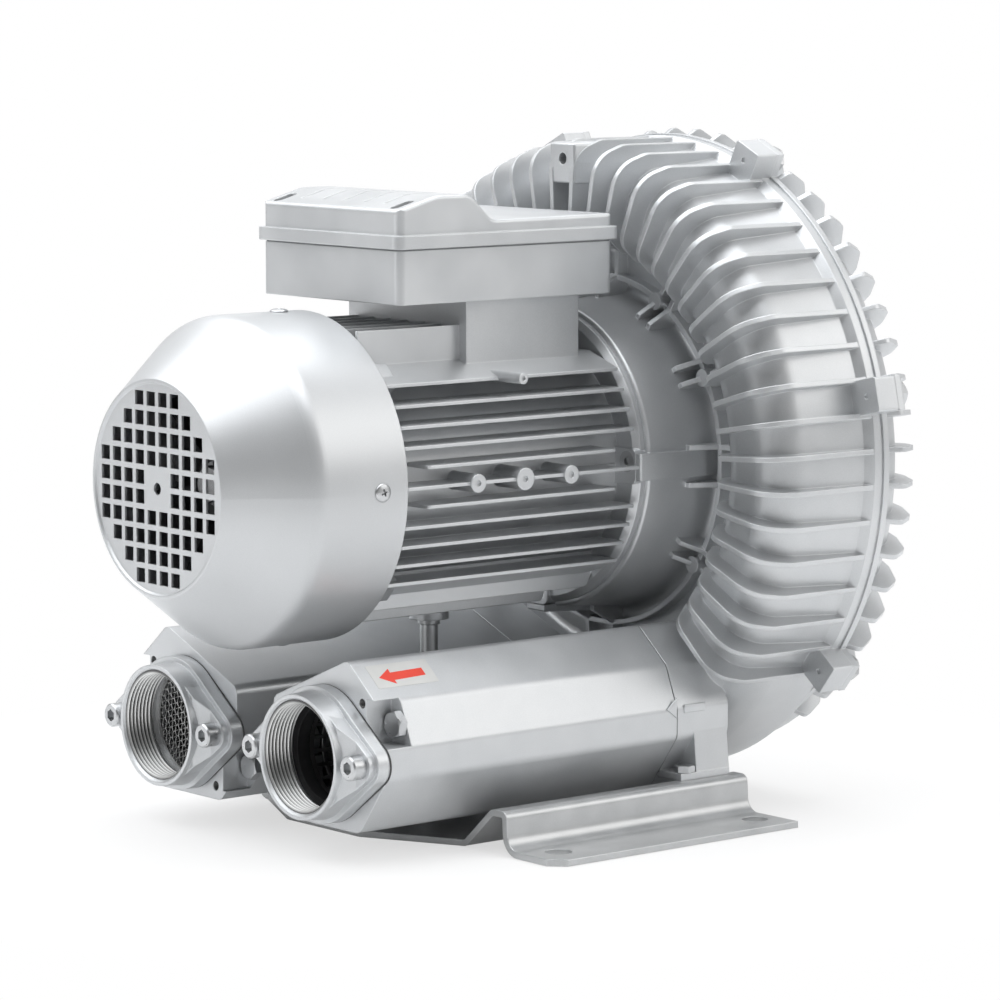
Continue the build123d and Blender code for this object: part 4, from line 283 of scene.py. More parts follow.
def metals():
    return (
        bare_metal("bare_casting", (0.50, 0.50, 0.50), (0.62, 0.62, 0.61), 0.44, 300.0, 300.0),
        bare_metal(
            "zinc_fastener", (0.50, 0.51, 0.52), (0.58, 0.585, 0.59), 0.33,
            across=500.0, along=500.0, edge=0.00015, depth=0.000001,
        ),
        bare_metal("bright_steel", (0.62, 0.62, 0.62), (0.70, 0.70, 0.70), 0.16, 60.0, 2500.0),
        bare_metal("turned_steel", (0.50, 0.50, 0.51), (0.60, 0.60, 0.61), 0.26, 60.0, 2500.0),
        bare_metal("core_steel", (0.22, 0.22, 0.23), (0.30, 0.30, 0.31), 0.42, 40.0, 2000.0),
        bare_metal("copper_winding", (0.50, 0.20, 0.09), (0.62, 0.28, 0.13), 0.34, 900.0, 40.0),
        bare_metal("cage_brass", (0.58, 0.43, 0.18), (0.68, 0.52, 0.24), 0.30, 300.0, 300.0),
        bare_metal(
            "screen_wire", (0.50, 0.50, 0.49), (0.60, 0.60, 0.59), 0.42,
            across=600.0, along=600.0, edge=0.00005, depth=0.000001,
        ),
        bare_metal("tube_sheet", (0.34, 0.34, 0.35), (0.44, 0.44, 0.45), 0.40, 700.0, 20.0),
    )


def plastics_and_fibres():
    return (
        moulded("seal_rubber", (0.012, 0.012, 0.013), (0.022, 0.022, 0.023), 0.55),
        moulded("fibre_gasket", (0.060, 0.062, 0.064), (0.10, 0.10, 0.10), 0.80),
        moulded("fan_plastic", (0.035, 0.036, 0.038), (0.055, 0.056, 0.058), 0.48),
        moulded("black_plastic", (0.020, 0.020, 0.022), (0.034, 0.034, 0.036), 0.42),
        moulded("terminal_plastic", (0.17, 0.075, 0.040), (0.23, 0.105, 0.055), 0.42),
        moulded("liner_foam", (0.085, 0.09, 0.088), (0.15, 0.155, 0.15), 0.92, grain=0.0004, depth=0.0001),
    )


PORT_THREAD_PITCH = 2.309
PORT_THREAD_DEPTH = 1.5
PORT_THREAD_TURNS = 7.6
# The groove colour is painted shade in the thread's hollows
GROOVE_SHADE_COLOUR = (0.16, 0.16, 0.16)
CREST_COLOUR = (0.80, 0.80, 0.79)


def thread_metal():
    """Cut thread: bright crests, and grooves darkened with painted shade, told apart by their distance from
    the port's axis.
    """
    made, tree, shader = new_material("bright_thread")
    place = add(tree, "ShaderNodeTexCoord").outputs["Object"]
    split = add(tree, "ShaderNodeSeparateXYZ", {0: place}).outputs
    across = maths(tree, "SUBTRACT", maths(tree, "ABSOLUTE", split[0]), PORT_X * MM)
    above = maths(tree, "SUBTRACT", split[2], PORT_Z * MM)
    squares = maths(tree, "ADD", maths(tree, "POWER", across, 2.0), maths(tree, "POWER", above, 2.0))
    from_axis = maths(tree, "SQRT", squares)
    crest_r = (PORT_BORE_R - PORT_THREAD_DEPTH) * MM
    groove_r = (PORT_BORE_R - 0.3) * MM
    crest = spread(tree, from_axis, crest_r, groove_r, 1.0, 0.0)
    # Darker towards the bore: painted shade in the grooves
    tree.links.new(blend_colours(tree, crest, GROOVE_SHADE_COLOUR, CREST_COLOUR), shader.inputs["Base Color"])
    tree.links.new(spread(tree, crest, 0.0, 1.0, 0.5, 0.3), shader.inputs["Roughness"])
    shader.inputs["Metallic"].default_value = 0.9
    return made


# The frame's own materials have these names already, so Blender adds a number after a full stop
FINISHES = {
    made.name.partition(".")[0]: made
    for made in (*paints(), *metals(), *plastics_and_fibres(), thread_metal())
}


def dress(made, material):
    made.data.materials.clear()
    made.data.materials.append(material)


for part in frame["record"]["subparts"]:
    dress(NODES[part["node"]], FINISHES[part["material_slot"]])

# No dark line shows at these joints, so their seals are grey
for node in ("housing_seal", "terminal_box_seals"):
    dress(NODES[node], FINISHES["painted_seam"])


# Fittings made with Geometry Nodes


def geometry_tree(name, takes):
    """A Geometry Nodes tree with named inputs; returns it with its inputs and its output socket."""
    tree = bpy.data.node_groups.new(name, "GeometryNodeTree")
    tree.interface.new_socket("Geometry", in_out="INPUT", socket_type="NodeSocketGeometry")
    for label, kind, value in takes:
        socket = tree.interface.new_socket(label, in_out="INPUT", socket_type="NodeSocket" + kind)
        if value is not None:
            socket.default_value = value
    tree.interface.new_socket("Geometry", in_out="OUTPUT", socket_type="NodeSocketGeometry")
    return tree, tree.nodes.new("NodeGroupInput").outputs, tree.nodes.new("NodeGroupOutput").inputs[0]


def finish_tree(tree, takes, gives, geometry):
    real = add(tree, "GeometryNodeRealizeInstances", {"Geometry": geometry}).outputs[0]
    painted = add(tree, "GeometryNodeSetMaterial", {"Geometry": real, "Material": takes["Material"]})
    tree.links.new(painted.outputs[0], gives)


def link(made):
    bpy.context.scene.collection.objects.link(made)
    return made


def solid(name, build):
    """A mesh object from a function that fills a bmesh."""
    shaped = bmesh.new()
    build(shaped)
    mesh = bpy.data.meshes.new(name)
    shaped.to_mesh(mesh)
    shaped.free()
    return link(bpy.data.objects.new(name, mesh))


def flatten(made, name):
    """The evaluated shape of an object as a plain mesh object, and the object removed."""
    graph = bpy.context.evaluated_depsgraph_get()
    mesh = bpy.data.meshes.new_from_object(made.evaluated_get(graph))
    mesh.name = name
    bpy.data.objects.remove(made)
    return link(bpy.data.objects.new(name, mesh))


def grown(name, tree, values, base=None):
    """Runs a Geometry Nodes tree on a base mesh and returns the result as a plain mesh object."""
    holder = link(bpy.data.objects.new(name + ".holder", base or bpy.data.meshes.new(name + ".base")))
    modifier = holder.modifiers.new("shape", "NODES")
    modifier.node_group = tree
    for item in tree.interface.items_tree:
        if item.in_out == "INPUT" and item.name in values:
            modifier[item.identifier] = values[item.name]
    return flatten(holder, name)


def settle(made, body=MACHINE, smooth_angle=35.0):
    """Sets the shading of a finished piece and its body."""
    mesh = made.data
    shaped = bmesh.new()
    shaped.from_mesh(mesh)
    bmesh.ops.remove_doubles(shaped, verts=shaped.verts, dist=1e-7)
    bmesh.ops.recalc_face_normals(shaped, faces=shaped.faces)
    shaped.to_mesh(mesh)
    shaped.free()
    mesh.shade_smooth()
    mesh.set_sharp_from_angle(angle=math.radians(smooth_angle))
    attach(made, body)
    return made


def thread_tree():
    """Helical ridge standing inwards from a bore along +Y."""
    tree, takes, gives = geometry_tree(
        "port_thread",
        (
            ("Turns", "Float", 8.0),
            ("Pitch", "Float", 0.0023),
            ("Depth", "Float", 0.0015),
            ("Root Radius", "Float", 0.0298),
            ("Front", "Vector", None),
            ("Material", "Material", None),
        ),
    )
    rise = maths(tree, "MULTIPLY", takes["Turns"], takes["Pitch"])
    spiral = add(
        tree,
        "GeometryNodeCurveSpiral",
        {
            "Resolution": 72,
            "Rotations": takes["Turns"],
            "Start Radius": takes["Root Radius"],
            "End Radius": takes["Root Radius"],
            "Height": rise,
        },
    ).outputs[0]
    upright = add(tree, "GeometryNodeSetCurveNormal", {"Curve": spiral}, mode="Z_UP").outputs[0]
    half_pitch = maths(tree, "MULTIPLY", takes["Pitch"], 0.49)
    size = add(tree, "ShaderNodeCombineXYZ", {"X": takes["Depth"], "Y": half_pitch, "Z": 1.0}).outputs[0]
    diamond = add(tree, "GeometryNodeCurvePrimitiveCircle", {"Resolution": 4, "Radius": 1.0}).outputs[0]
    ridge = add(tree, "GeometryNodeTransform", {"Geometry": diamond, "Scale": size}).outputs[0]
    along = add(tree, "GeometryNodeSplineParameter").outputs["Factor"]
    from_end = maths(tree, "MINIMUM", along, maths(tree, "SUBTRACT", 1.0, along))
    fade = spread(tree, from_end, 0.0, 0.03, 0.1, 1.0)
    swept = add(
        tree,
        "GeometryNodeCurveToMesh",
        {"Curve": upright, "Profile Curve": ridge, "Scale": fade, "Fill Caps": True},
    ).outputs[0]
    laid = add(
        tree,
        "GeometryNodeTransform",
        {"Geometry": swept, "Rotation": (math.radians(-90), 0.0, 0.0), "Translation": takes["Front"]},
    ).outputs[0]
    finish_tree(tree, takes, gives, laid)
    return tree


THREAD_TREE = thread_tree()


def port_threads():
    for name, side in (("inlet_port_thread", -1), ("outlet_port_thread", 1)):
        made = grown(
            name,
            THREAD_TREE,
            {
                "Turns": PORT_THREAD_TURNS,
                "Pitch": PORT_THREAD_PITCH * MM,
                "Depth": PORT_THREAD_DEPTH * MM,
                "Root Radius": PORT_BORE_R * MM,
                "Front": (side * PORT_X * MM, (PORT_FRONT_Y + 1.0) * MM, PORT_Z * MM),
                "Material": FINISHES["bright_thread"],
            },
        )
        settle(made, smooth_angle=20.0)


TAPPED_HOLE_R = 2.6
TAPPED_HOLE_PITCH = 1.0
TAPPED_HOLE_DEPTH = 0.45
TAPPED_HOLE_TURNS = 9.0
# Across and up from a port's axis
TAPPED_HOLES = ((29.5, 30.0), (-27.5, -31.5))


def tapped_holes():
    """Threads in the spare holes of the silencers' fronts."""
    for side, hand in ((-1, "inlet"), (1, "outlet")):
        for number, (u, v) in enumerate(TAPPED_HOLES, 1):
            made = grown(
                f"{hand}_tapped_hole_{number}",
                THREAD_TREE,
                {
                    "Turns": TAPPED_HOLE_TURNS,
                    "Pitch": TAPPED_HOLE_PITCH * MM,
                    "Depth": TAPPED_HOLE_DEPTH * MM,
                    "Root Radius": TAPPED_HOLE_R * MM,
                    "Front": (side * (PORT_X + u) * MM, (SILENCER_FRONT_Y + 0.3) * MM, (PORT_Z + v) * MM),
                    "Material": FINISHES["bright_thread"],
                },
            )
            settle(made, smooth_angle=20.0)


port_threads()
tapped_holes()


WIRES_EACH_WAY = 25
POINTS_PER_PITCH = 6


def woven_tree():
    """Plain weave of crimped wires cut to a disc, with a rim. The disc faces along Y."""
    tree, takes, gives = geometry_tree(
        "woven_guard",
        (
            ("Pitch", "Float", 0.003),
            ("Wire Radius", "Float", 0.0005),
            ("Disc Radius", "Float", 0.029),
            ("Warp Tilt", "Float", 0.3),
            ("Weft Tilt", "Float", 1.6),
            ("Rim Width", "Float", 0.0024),
            ("Rim Depth", "Float", 0.0016),
            ("Middle", "Vector", None),
            ("Material", "Material", None),
        ),
    )
    reach = maths(tree, "MULTIPLY", takes["Pitch"], (WIRES_EACH_WAY - 1) / 2)
    back = maths(tree, "MULTIPLY", reach, -1.0)
    points = (WIRES_EACH_WAY - 1) * POINTS_PER_PITCH + 1
    families = []
    for lengthwise in (True, False):
        near = {"X": back} if lengthwise else {"Y": back}
        far = {"X": reach} if lengthwise else {"Y": reach}
        step = {"Y": takes["Pitch"]} if lengthwise else {"X": takes["Pitch"]}
        first = {"Y": back} if lengthwise else {"X": back}
        wire = add(
            tree,
            "GeometryNodeCurvePrimitiveLine",
            {
                "Start": add(tree, "ShaderNodeCombineXYZ", near).outputs[0],
                "End": add(tree, "ShaderNodeCombineXYZ", far).outputs[0],
            },
        ).outputs[0]
        wire = add(tree, "GeometryNodeResampleCurve", {"Curve": wire, "Count": points}).outputs[0]
        line = add(
            tree,
            "GeometryNodeMeshLine",
            {
                "Count": WIRES_EACH_WAY,
                "Start Location": add(tree, "ShaderNodeCombineXYZ", first).outputs[0],
                "Offset": add(tree, "ShaderNodeCombineXYZ", step).outputs[0],
            },
        ).outputs[0]
        wires = add(tree, "GeometryNodeInstanceOnPoints", {"Points": line, "Instance": wire}).outputs[0]
        wires = add(tree, "GeometryNodeRealizeInstances", {"Geometry": wires}).outputs[0]
        place = add(tree, "GeometryNodeInputPosition").outputs[0]
        flat = add(tree, "ShaderNodeSeparateXYZ", {"Vector": place}).outputs
        turn = maths(tree, "DIVIDE", math.pi, takes["Pitch"])
        wave = maths(
            tree,
            "MULTIPLY",
            maths(tree, "COSINE", maths(tree, "MULTIPLY", flat["X"], turn)),
            maths(tree, "COSINE", maths(tree, "MULTIPLY", flat["Y"], turn)),
        )
        swing = maths(tree, "MULTIPLY", takes["Wire Radius"], 1.0 if lengthwise else -1.0)
        depth = maths(tree, "MULTIPLY", wave, swing)
        across = []
        for function in ("COSINE", "SINE"):
            warp = maths(tree, "MULTIPLY", flat["X"], maths(tree, function, takes["Warp Tilt"]))
            weft = maths(tree, "MULTIPLY", flat["Y"], maths(tree, function, takes["Weft Tilt"]))
            across.append(maths(tree, "ADD", warp, weft))
        moved = add(tree, "ShaderNodeCombineXYZ", {"X": across[0], "Y": depth, "Z": across[1]}).outputs[0]
        families.append(
            add(tree, "GeometryNodeSetPosition", {"Geometry": wires, "Position": moved}).outputs[0]
        )
    cloth = add(tree, "GeometryNodeJoinGeometry")
    for family in families:
        tree.links.new(family, cloth.inputs[0])
    place = add(tree, "GeometryNodeInputPosition").outputs[0]
    far_out = add(tree, "ShaderNodeVectorMath", {0: place}, operation="LENGTH").outputs["Value"]
    outside = add(
        tree,
        "FunctionNodeCompare",
        {0: far_out, 1: takes["Disc Radius"]},
        data_type="FLOAT",
        operation="GREATER_THAN",
    ).outputs[0]
    disc = add(
        tree,
        "GeometryNodeDeleteGeometry",
        {"Geometry": cloth.outputs[0], "Selection": outside},
        domain="POINT",
    ).outputs[0]
    section = add(
        tree, "GeometryNodeCurvePrimitiveCircle", {"Resolution": 8, "Radius": takes["Wire Radius"]}
    ).outputs[0]
    wires = add(
        tree, "GeometryNodeCurveToMesh", {"Curve": disc, "Profile Curve": section, "Fill Caps": True}
    ).outputs[0]
    hoop_r = maths(tree, "ADD", takes["Disc Radius"], maths(tree, "MULTIPLY", takes["Rim Width"], 0.2))
    hoop = add(tree, "GeometryNodeCurvePrimitiveCircle", {"Resolution": 96, "Radius": hoop_r}).outputs[0]
    strip = add(
        tree,
        "GeometryNodeCurvePrimitiveQuadrilateral",
        {"Width": takes["Rim Width"], "Height": takes["Rim Depth"]},
    ).outputs[0]
    rim = add(tree, "GeometryNodeCurveToMesh", {"Curve": hoop, "Profile Curve": strip}).outputs[0]
    rim = add(
        tree, "GeometryNodeTransform", {"Geometry": rim, "Rotation": (math.radians(90), 0.0, 0.0)}
    ).outputs[0]
    whole = add(tree, "GeometryNodeJoinGeometry")
    tree.links.new(rim, whole.inputs[0])
    tree.links.new(wires, whole.inputs[0])
    laid = add(
        tree, "GeometryNodeTransform", {"Geometry": whole.outputs[0], "Translation": takes["Middle"]}
    ).outputs[0]
    finish_tree(tree, takes, gives, laid)
    return tree


GUARD_PITCH = 3.05
GUARD_WIRE_R = 0.37
GUARD_R = 28.9
GUARD_WARP_TILT = math.radians(17.0)
GUARD_WEFT_TILT = math.radians(92.0)
GUARD_RIM_WIDTH = 2.4
GUARD_RIM_DEPTH = 1.6


def inlet_guard():
    low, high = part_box("inlet_screen")
    made = grown(
        "inlet_woven_guard",
        woven_tree(),
        {
            "Pitch": GUARD_PITCH * MM,
            "Wire Radius": GUARD_WIRE_R * MM,
            "Disc Radius": GUARD_R * MM,
            "Warp Tilt": GUARD_WARP_TILT,
            "Weft Tilt": GUARD_WEFT_TILT,
            "Rim Width": GUARD_RIM_WIDTH * MM,
            "Rim Depth": GUARD_RIM_DEPTH * MM,
            "Middle": tuple((low + high) / 2),
            "Material": FINISHES["screen_wire"],
        },
    )
    settle(made)
    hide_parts("inlet_screen")


inlet_guard()


# Screws and bolts


def turned(shaped, profile, sides=32):
    """A closed solid turned about +Z from (radius, height) pairs, bottom to top."""
    rings = []
    for radius, height in profile:
        ring = []
        for i in range(sides):
            angle = 2 * math.pi * i / sides
            ring.append(
                shaped.verts.new(Vector((radius * math.cos(angle), radius * math.sin(angle), height)) * MM)
            )
        rings.append(ring)
    for lower, upper in zip(rings, rings[1:]):
        for i in range(sides):
            j = (i + 1) % sides
            shaped.faces.new((lower[i], lower[j], upper[j], upper[i]))
    shaped.faces.new(list(reversed(rings[0])))
    shaped.faces.new(rings[-1])


def prism(shaped, outline, low, high, taper=1.0):
    """An outline in the XY plane raised from low to high; the low end is scaled by taper."""
    under = [shaped.verts.new(Vector((x * taper, y * taper, low)) * MM) for x, y in outline]
    over = [shaped.verts.new(Vector((x, y, high)) * MM) for x, y in outline]
    shaped.faces.new(list(reversed(under)))
    shaped.faces.new(over)
    for i in range(len(outline)):
        j = (i + 1) % len(outline)
        shaped.faces.new((under[i], under[j], over[j], over[i]))


def combined(name, first, second, operation):
    modifier = first.modifiers.new("join", "BOOLEAN")
    modifier.operation = operation
    modifier.solver = "EXACT"
    modifier.object = second
    made = flatten(first, name)
    bpy.data.objects.remove(second)
    return made


def joined(name, *parts):
    shaped = bmesh.new()
    for part in parts:
        shaped.from_mesh(part.data)
        bpy.data.objects.remove(part)
    mesh = bpy.data.meshes.new(name)
    shaped.to_mesh(mesh)
    shaped.free()
    return link(bpy.data.objects.new(name, mesh))


def shank(name, radius, length):
    """A screw's shank hanging below the origin, with a chamfered tip."""
    tip = min(0.8, radius * 0.3)
    profile = ((radius - tip, -length), (radius, -length + tip), (radius, 0.05))
    return solid(name, lambda shaped: turned(shaped, profile, 24))


def cross_head(name, head_r, rise, shank_r, length):
    """Domed screw with a cross recess, its head's seat at the origin."""
    brim = rise * 0.12
    first_angle, arc, steps = 12, 72, 7
    dome = [(head_r * 0.97, 0.0), (head_r, brim)]
    for i in range(steps + 1):
        angle = math.radians(first_angle + arc * i / steps)
        dome.append((head_r * math.cos(angle), brim + (rise - brim) * math.sin(angle)))
    head = solid(name + ".head", lambda shaped: turned(shaped, dome, 40))
    slot_reach = head_r * 0.56
    slot_half = head_r * 0.13
    cross = []
    for quarter in range(4):
        turn = Matrix.Rotation(math.radians(90 * quarter), 2)
        for corner in ((slot_half, -slot_half), (slot_reach, -slot_half), (slot_reach, slot_half)):
            cross.append(tuple(turn @ Vector(corner)))
    cutter = solid(
        name + ".cross", lambda shaped: prism(shaped, cross, rise * 0.15, rise * 1.4, taper=0.45)
    )
    head = combined(name + ".cut", head, cutter, "DIFFERENCE")
    return joined(name, head, shank(name + ".shank", shank_r, length))


def hex_head(name, flats, height, shank_r, length):
    """Hexagon head with a chamfered top on a washer face, its seat at the origin."""
    corner_r = flats / math.sqrt(3)
    top_r = flats * 0.475
    washer_r = flats * 0.46
    corners = [math.radians(60 * i + 30) for i in range(6)]
    outline = [(corner_r * math.cos(angle), corner_r * math.sin(angle)) for angle in corners]
    block = solid(name + ".hex", lambda shaped: prism(shaped, outline, 0.35, height))
    chamfer = (corner_r - top_r) * math.tan(math.radians(30))
    limit = ((corner_r + 0.5, 0.2), (corner_r + 0.01, height - chamfer), (top_r, height))
    lathe = solid(name + ".lathe", lambda shaped: turned(shaped, limit, 72))
    head = combined(name + ".cut", block, lathe, "INTERSECT")
    washer = solid(name + ".face", lambda shaped: turned(shaped, ((washer_r, 0.0), (washer_r, 0.5)), 48))
    return joined(name, head, washer, shank(name + ".shank", shank_r, length))


def set_out_tree():
    """Puts a copy of the pattern at each point of the base mesh, turned by its "turn" attribute."""
    tree, takes, gives = geometry_tree(
        "set_out_fasteners", (("Pattern", "Object", None), ("Material", "Material", None))
    )
    pattern = add(tree, "GeometryNodeObjectInfo", {"Object": takes["Pattern"]}).outputs["Geometry"]
    turn = add(
        tree, "GeometryNodeInputNamedAttribute", {"Name": "turn"}, data_type="FLOAT_VECTOR"
    ).outputs["Attribute"]
    facing = add(tree, "FunctionNodeEulerToRotation", {"Euler": turn}).outputs[0]
    placed = add(
        tree,
        "GeometryNodeInstanceOnPoints",
        {"Points": takes["Geometry"], "Instance": pattern, "Rotation": facing},
    ).outputs[0]
    finish_tree(tree, takes, gives, placed)
    return tree


SET_OUT = set_out_tree()


def set_out(name, pattern, places, node):
    """Each place is a position in millimetres, an outward direction and a turn about it in degrees."""
    base = bpy.data.meshes.new(name + ".places")
    base.from_pydata([Vector(position) * MM for position, _, _ in places], [], [])
    turns = base.attributes.new("turn", "FLOAT_VECTOR", "POINT")
    for item, (_, outward, spin) in zip(turns.data, places):
        stand = Vector(outward).to_track_quat("Z", "Y").to_matrix()
        item.vector = (stand @ Matrix.Rotation(math.radians(spin), 3, "Z")).to_euler()
    made = grown(name, SET_OUT, {"Pattern": pattern, "Material": FINISHES["zinc_fastener"]}, base)
    bpy.data.objects.remove(pattern)
    settle(made, smooth_angle=28.0)
    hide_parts(node)


UPWARDS = (0.0, 0.0, 1.0)
FORWARDS = (0.0, -1.0, 0.0)
BACKWARDS = (0.0, 1.0, 0.0)

COVER_SCREWS = 4
COVER_SCREW_R = 88.6
COVER_SCREW_Y = -142.5

LID_SCREW_X = 51.0
LID_SCREW_ROWS = (-99.5, 31.5)
LID_SCREW_Z = 324.5

# Hexagon heads: M8 across the flats and high, and the shanks below them
M8_FLATS = 13.0
M8_HEIGHT = 5.3
M8_SHANK_R = 3.9
NOTCH_FLOOR_Y = -143.7
DUCT_BOLT_LENGTH = 204.7
# Across and up from a port's axis
DUCT_BOLTS = ((40.0, 19.0), (-41.5, -20.5))

LUGS = 7
LUG_BOLT_R = 182.0
LUG_BACK_Y = 138.5
JOINT_BOLT_LENGTH = 15.5

FOOT_BOLT_X = 112.0
FOOT_BOLT_Y = 47.4
FOOT_BOLT_Z = 27.5


def around_motor(radius, y, degrees):
    angle = math.radians(degrees)
    return (radius * math.cos(angle), y, MOTOR_AXIS_Z + radius * math.sin(angle))


def cover_screws():
    places = []
    for i in range(COVER_SCREWS):
        degrees = 360.0 / COVER_SCREWS * i
        outward = (math.cos(math.radians(degrees)), 0.0, math.sin(math.radians(degrees)))
        places.append((around_motor(COVER_SCREW_R, COVER_SCREW_Y, degrees), outward, 20.0 + 35.0 * i))
    pattern = cross_head("cross_head_m5", head_r=5.0, rise=1.85, shank_r=2.4, length=9.0)
    set_out("cover_screws", pattern, places, "fan_cover_screws")


def box_lid_screws():
    places = []
    for side in (-1, 1):
        for y in LID_SCREW_ROWS:
            places.append(((side * LID_SCREW_X, y, LID_SCREW_Z), UPWARDS, 25.0 + 40.0 * side + y))
    pattern = cross_head("cross_head_m4", head_r=3.3, rise=1.8, shank_r=1.9, length=17.5)
    set_out("box_lid_screws", pattern, places, "lid_screws")


def duct_bolts():
    """The long bolts in the silencers' corner notches."""
    places = []
    for side in (-1, 1):
        for u, v in DUCT_BOLTS:
            seat = (side * (PORT_X + u), NOTCH_FLOOR_Y, PORT_Z + v)
            places.append((seat, FORWARDS, 8.0 * side + u))
    pattern = hex_head("hex_m8_long", M8_FLATS, M8_HEIGHT, M8_SHANK_R, DUCT_BOLT_LENGTH)
    set_out("duct_bolts", pattern, places, "silencer_bolts")


def joint_bolts():
    """The bolts round the casing's joint, one in each lug; the last lug is at the bottom."""
    step = 360.0 / LUGS
    angles = [90.0 + side * step * (i + 0.5) for side in (-1, 1) for i in range(LUGS // 2)] + [270.0]
    places = [(around_motor(LUG_BOLT_R, LUG_BACK_Y, angle), BACKWARDS, angle * 1.7) for angle in angles]
    pattern = hex_head("hex_m8_short", M8_FLATS, M8_HEIGHT, M8_SHANK_R, JOINT_BOLT_LENGTH)
    set_out("joint_bolts", pattern, places, "housing_bolts")


def foot_bolts():
    places = [
        ((side * FOOT_BOLT_X, FOOT_BOLT_Y, FOOT_BOLT_Z), UPWARDS, 12.0 * side) for side in (-1, 1)
    ]
    pattern = hex_head("hex_m6", flats=10.0, height=4.0, shank_r=2.9, length=11.5)
    set_out("foot_bolts", pattern, places, "base_bolts")


cover_screws()
box_lid_screws()
duct_bolts()
joint_bolts()
foot_bolts()


# Lifting boss between the two top fins, with its tapped hole

BOSS_HALF_X = 10.5
BOSS_FRONT_Y = 54.5
BOSS_BACK_Y = 128.0
BOSS_LOW_Z = 343.6
BOSS_TOP_Z = 366.2
BOSS_ROUNDING = 1.6
BOSS_HOLE_X = 0.8
BOSS_HOLE_Z = 357.4
BOSS_HOLE_R = 3.3
BOSS_HOLE_DEPTH = 14.0
BOSS_HOLE_FLARE = 0.9
UPRIGHT = Matrix.Rotation(math.radians(90), 4, "X")


def boss_body(shaped):
    """The block, with its front edges and the two edges along its top rounded."""
    outline = (
        (-BOSS_HALF_X, BOSS_LOW_Z), (BOSS_HALF_X, BOSS_LOW_Z),
        (BOSS_HALF_X, BOSS_TOP_Z), (-BOSS_HALF_X, BOSS_TOP_Z),
    )
    prism(shaped, outline, -BOSS_BACK_Y, -BOSS_FRONT_Y)
    bmesh.ops.transform(shaped, matrix=UPRIGHT, verts=shaped.verts)
    rounded = []
    for edge in shaped.edges:
        first, second = (vert.co for vert in edge.verts)
        at_front = max(abs(first.y - BOSS_FRONT_Y * MM), abs(second.y - BOSS_FRONT_Y * MM)) < 1e-6
        at_top = min(first.z, second.z) > (BOSS_TOP_Z - 1.0) * MM
        runs_back = abs(first.y - second.y) > 0.01
        if at_front or (at_top and runs_back):
            rounded.append(edge)
    bmesh.ops.bevel(
        shaped, geom=rounded, offset=BOSS_ROUNDING * MM, segments=4, profile=0.5, affect="EDGES"
    )


def boss_hole(shaped):
    profile = (
        (BOSS_HOLE_R, 0.0), (BOSS_HOLE_R, BOSS_HOLE_DEPTH),
        (BOSS_HOLE_R + BOSS_HOLE_FLARE, BOSS_HOLE_DEPTH + BOSS_HOLE_FLARE),
    )
    turned(shaped, profile, 32)
    bottom = Vector((BOSS_HOLE_X, BOSS_FRONT_Y + BOSS_HOLE_DEPTH, BOSS_HOLE_Z)) * MM
    bmesh.ops.transform(shaped, matrix=Matrix.Translation(bottom) @ UPRIGHT, verts=shaped.verts)


def lifting_boss():
    made = combined(
        "lifting_boss", solid("boss.body", boss_body), solid("boss.hole", boss_hole), "DIFFERENCE"
    )
    dress(made, FINISHES["painted_casting"])
    settle(made, smooth_angle=40.0)


lifting_boss()


# Flow label and the cast flow mark


def plate(name, outline, place, thickness, material, bevel=0.0):
    """A flat outline given thickness; place turns an outline point and a height into a position."""

    def build(shaped):
        under = [shaped.verts.new(place(u, v, 0.0)) for u, v in outline]
        over = [shaped.verts.new(place(u, v, thickness)) for u, v in outline]
        shaped.faces.new(over)
        shaped.faces.new(list(reversed(under)))
        count = len(outline)
        for i in range(count):
            j = (i + 1) % count
            shaped.faces.new((under[i], under[j], over[j], over[i]))
        if bevel:
            top = [edge for edge in shaped.edges if all(vert in over for vert in edge.verts)]
            bmesh.ops.bevel(shaped, geom=top, offset=bevel * MM, segments=3, profile=0.5, affect="EDGES")

    made = solid(name, build)
    dress(made, material)
    settle(made)


def rounded_outline(low_u, high_u, low_v, high_v, radius, steps=5):
    points = []
    corners = ((high_u, high_v, 0), (low_u, high_v, 90), (low_u, low_v, 180), (high_u, low_v, 270))
    for u, v, start in corners:
        cu = u - radius if u == high_u else u + radius
        cv = v - radius if v == high_v else v + radius
        for i in range(steps + 1):
            angle = math.radians(start + 90 * i / steps)
            points.append((cu + radius * math.cos(angle), cv + radius * math.sin(angle)))
    return points


# The right silencer's upper slope, from its top corner down and outwards
SLOPE_START = Vector((80.5, 0.0, 106.0))
SLOPE_TILT = math.radians(39.685)
SLOPE_DOWN = Vector((math.cos(SLOPE_TILT), 0.0, -math.sin(SLOPE_TILT)))
SLOPE_OUT = Vector((math.sin(SLOPE_TILT), 0.0, math.cos(SLOPE_TILT)))


def on_slope(lift):
    def place(y, down, height):
        return (SLOPE_START + SLOPE_DOWN * down + Vector((0, y, 0)) + SLOPE_OUT * (lift + height)) * MM
    return place


def label_paper():
    made, tree, shader = new_material("label_paper")
    skin = grouped(tree, SPRAY_GRAIN, grain_size=0.0005, wave_size=0.01, wave_share=0.5)
    colour = blend_colours(tree, skin["Tone"], (0.60, 0.60, 0.585), (0.68, 0.68, 0.665))
    tree.links.new(colour, shader.inputs["Base Color"])
    shader.inputs["Coat Weight"].default_value = 0.3
    shader.inputs["Coat Roughness"].default_value = 0.2
    tree.links.new(spread(tree, skin["Fleck"], 0.3, 0.7, 0.35, 0.5), shader.inputs["Roughness"])
    normal = add(tree, "ShaderNodeNewGeometry").outputs["Normal"]
    tree.links.new(bumped(tree, skin["Height"], normal, 0.000008), shader.inputs["Normal"])
    return made


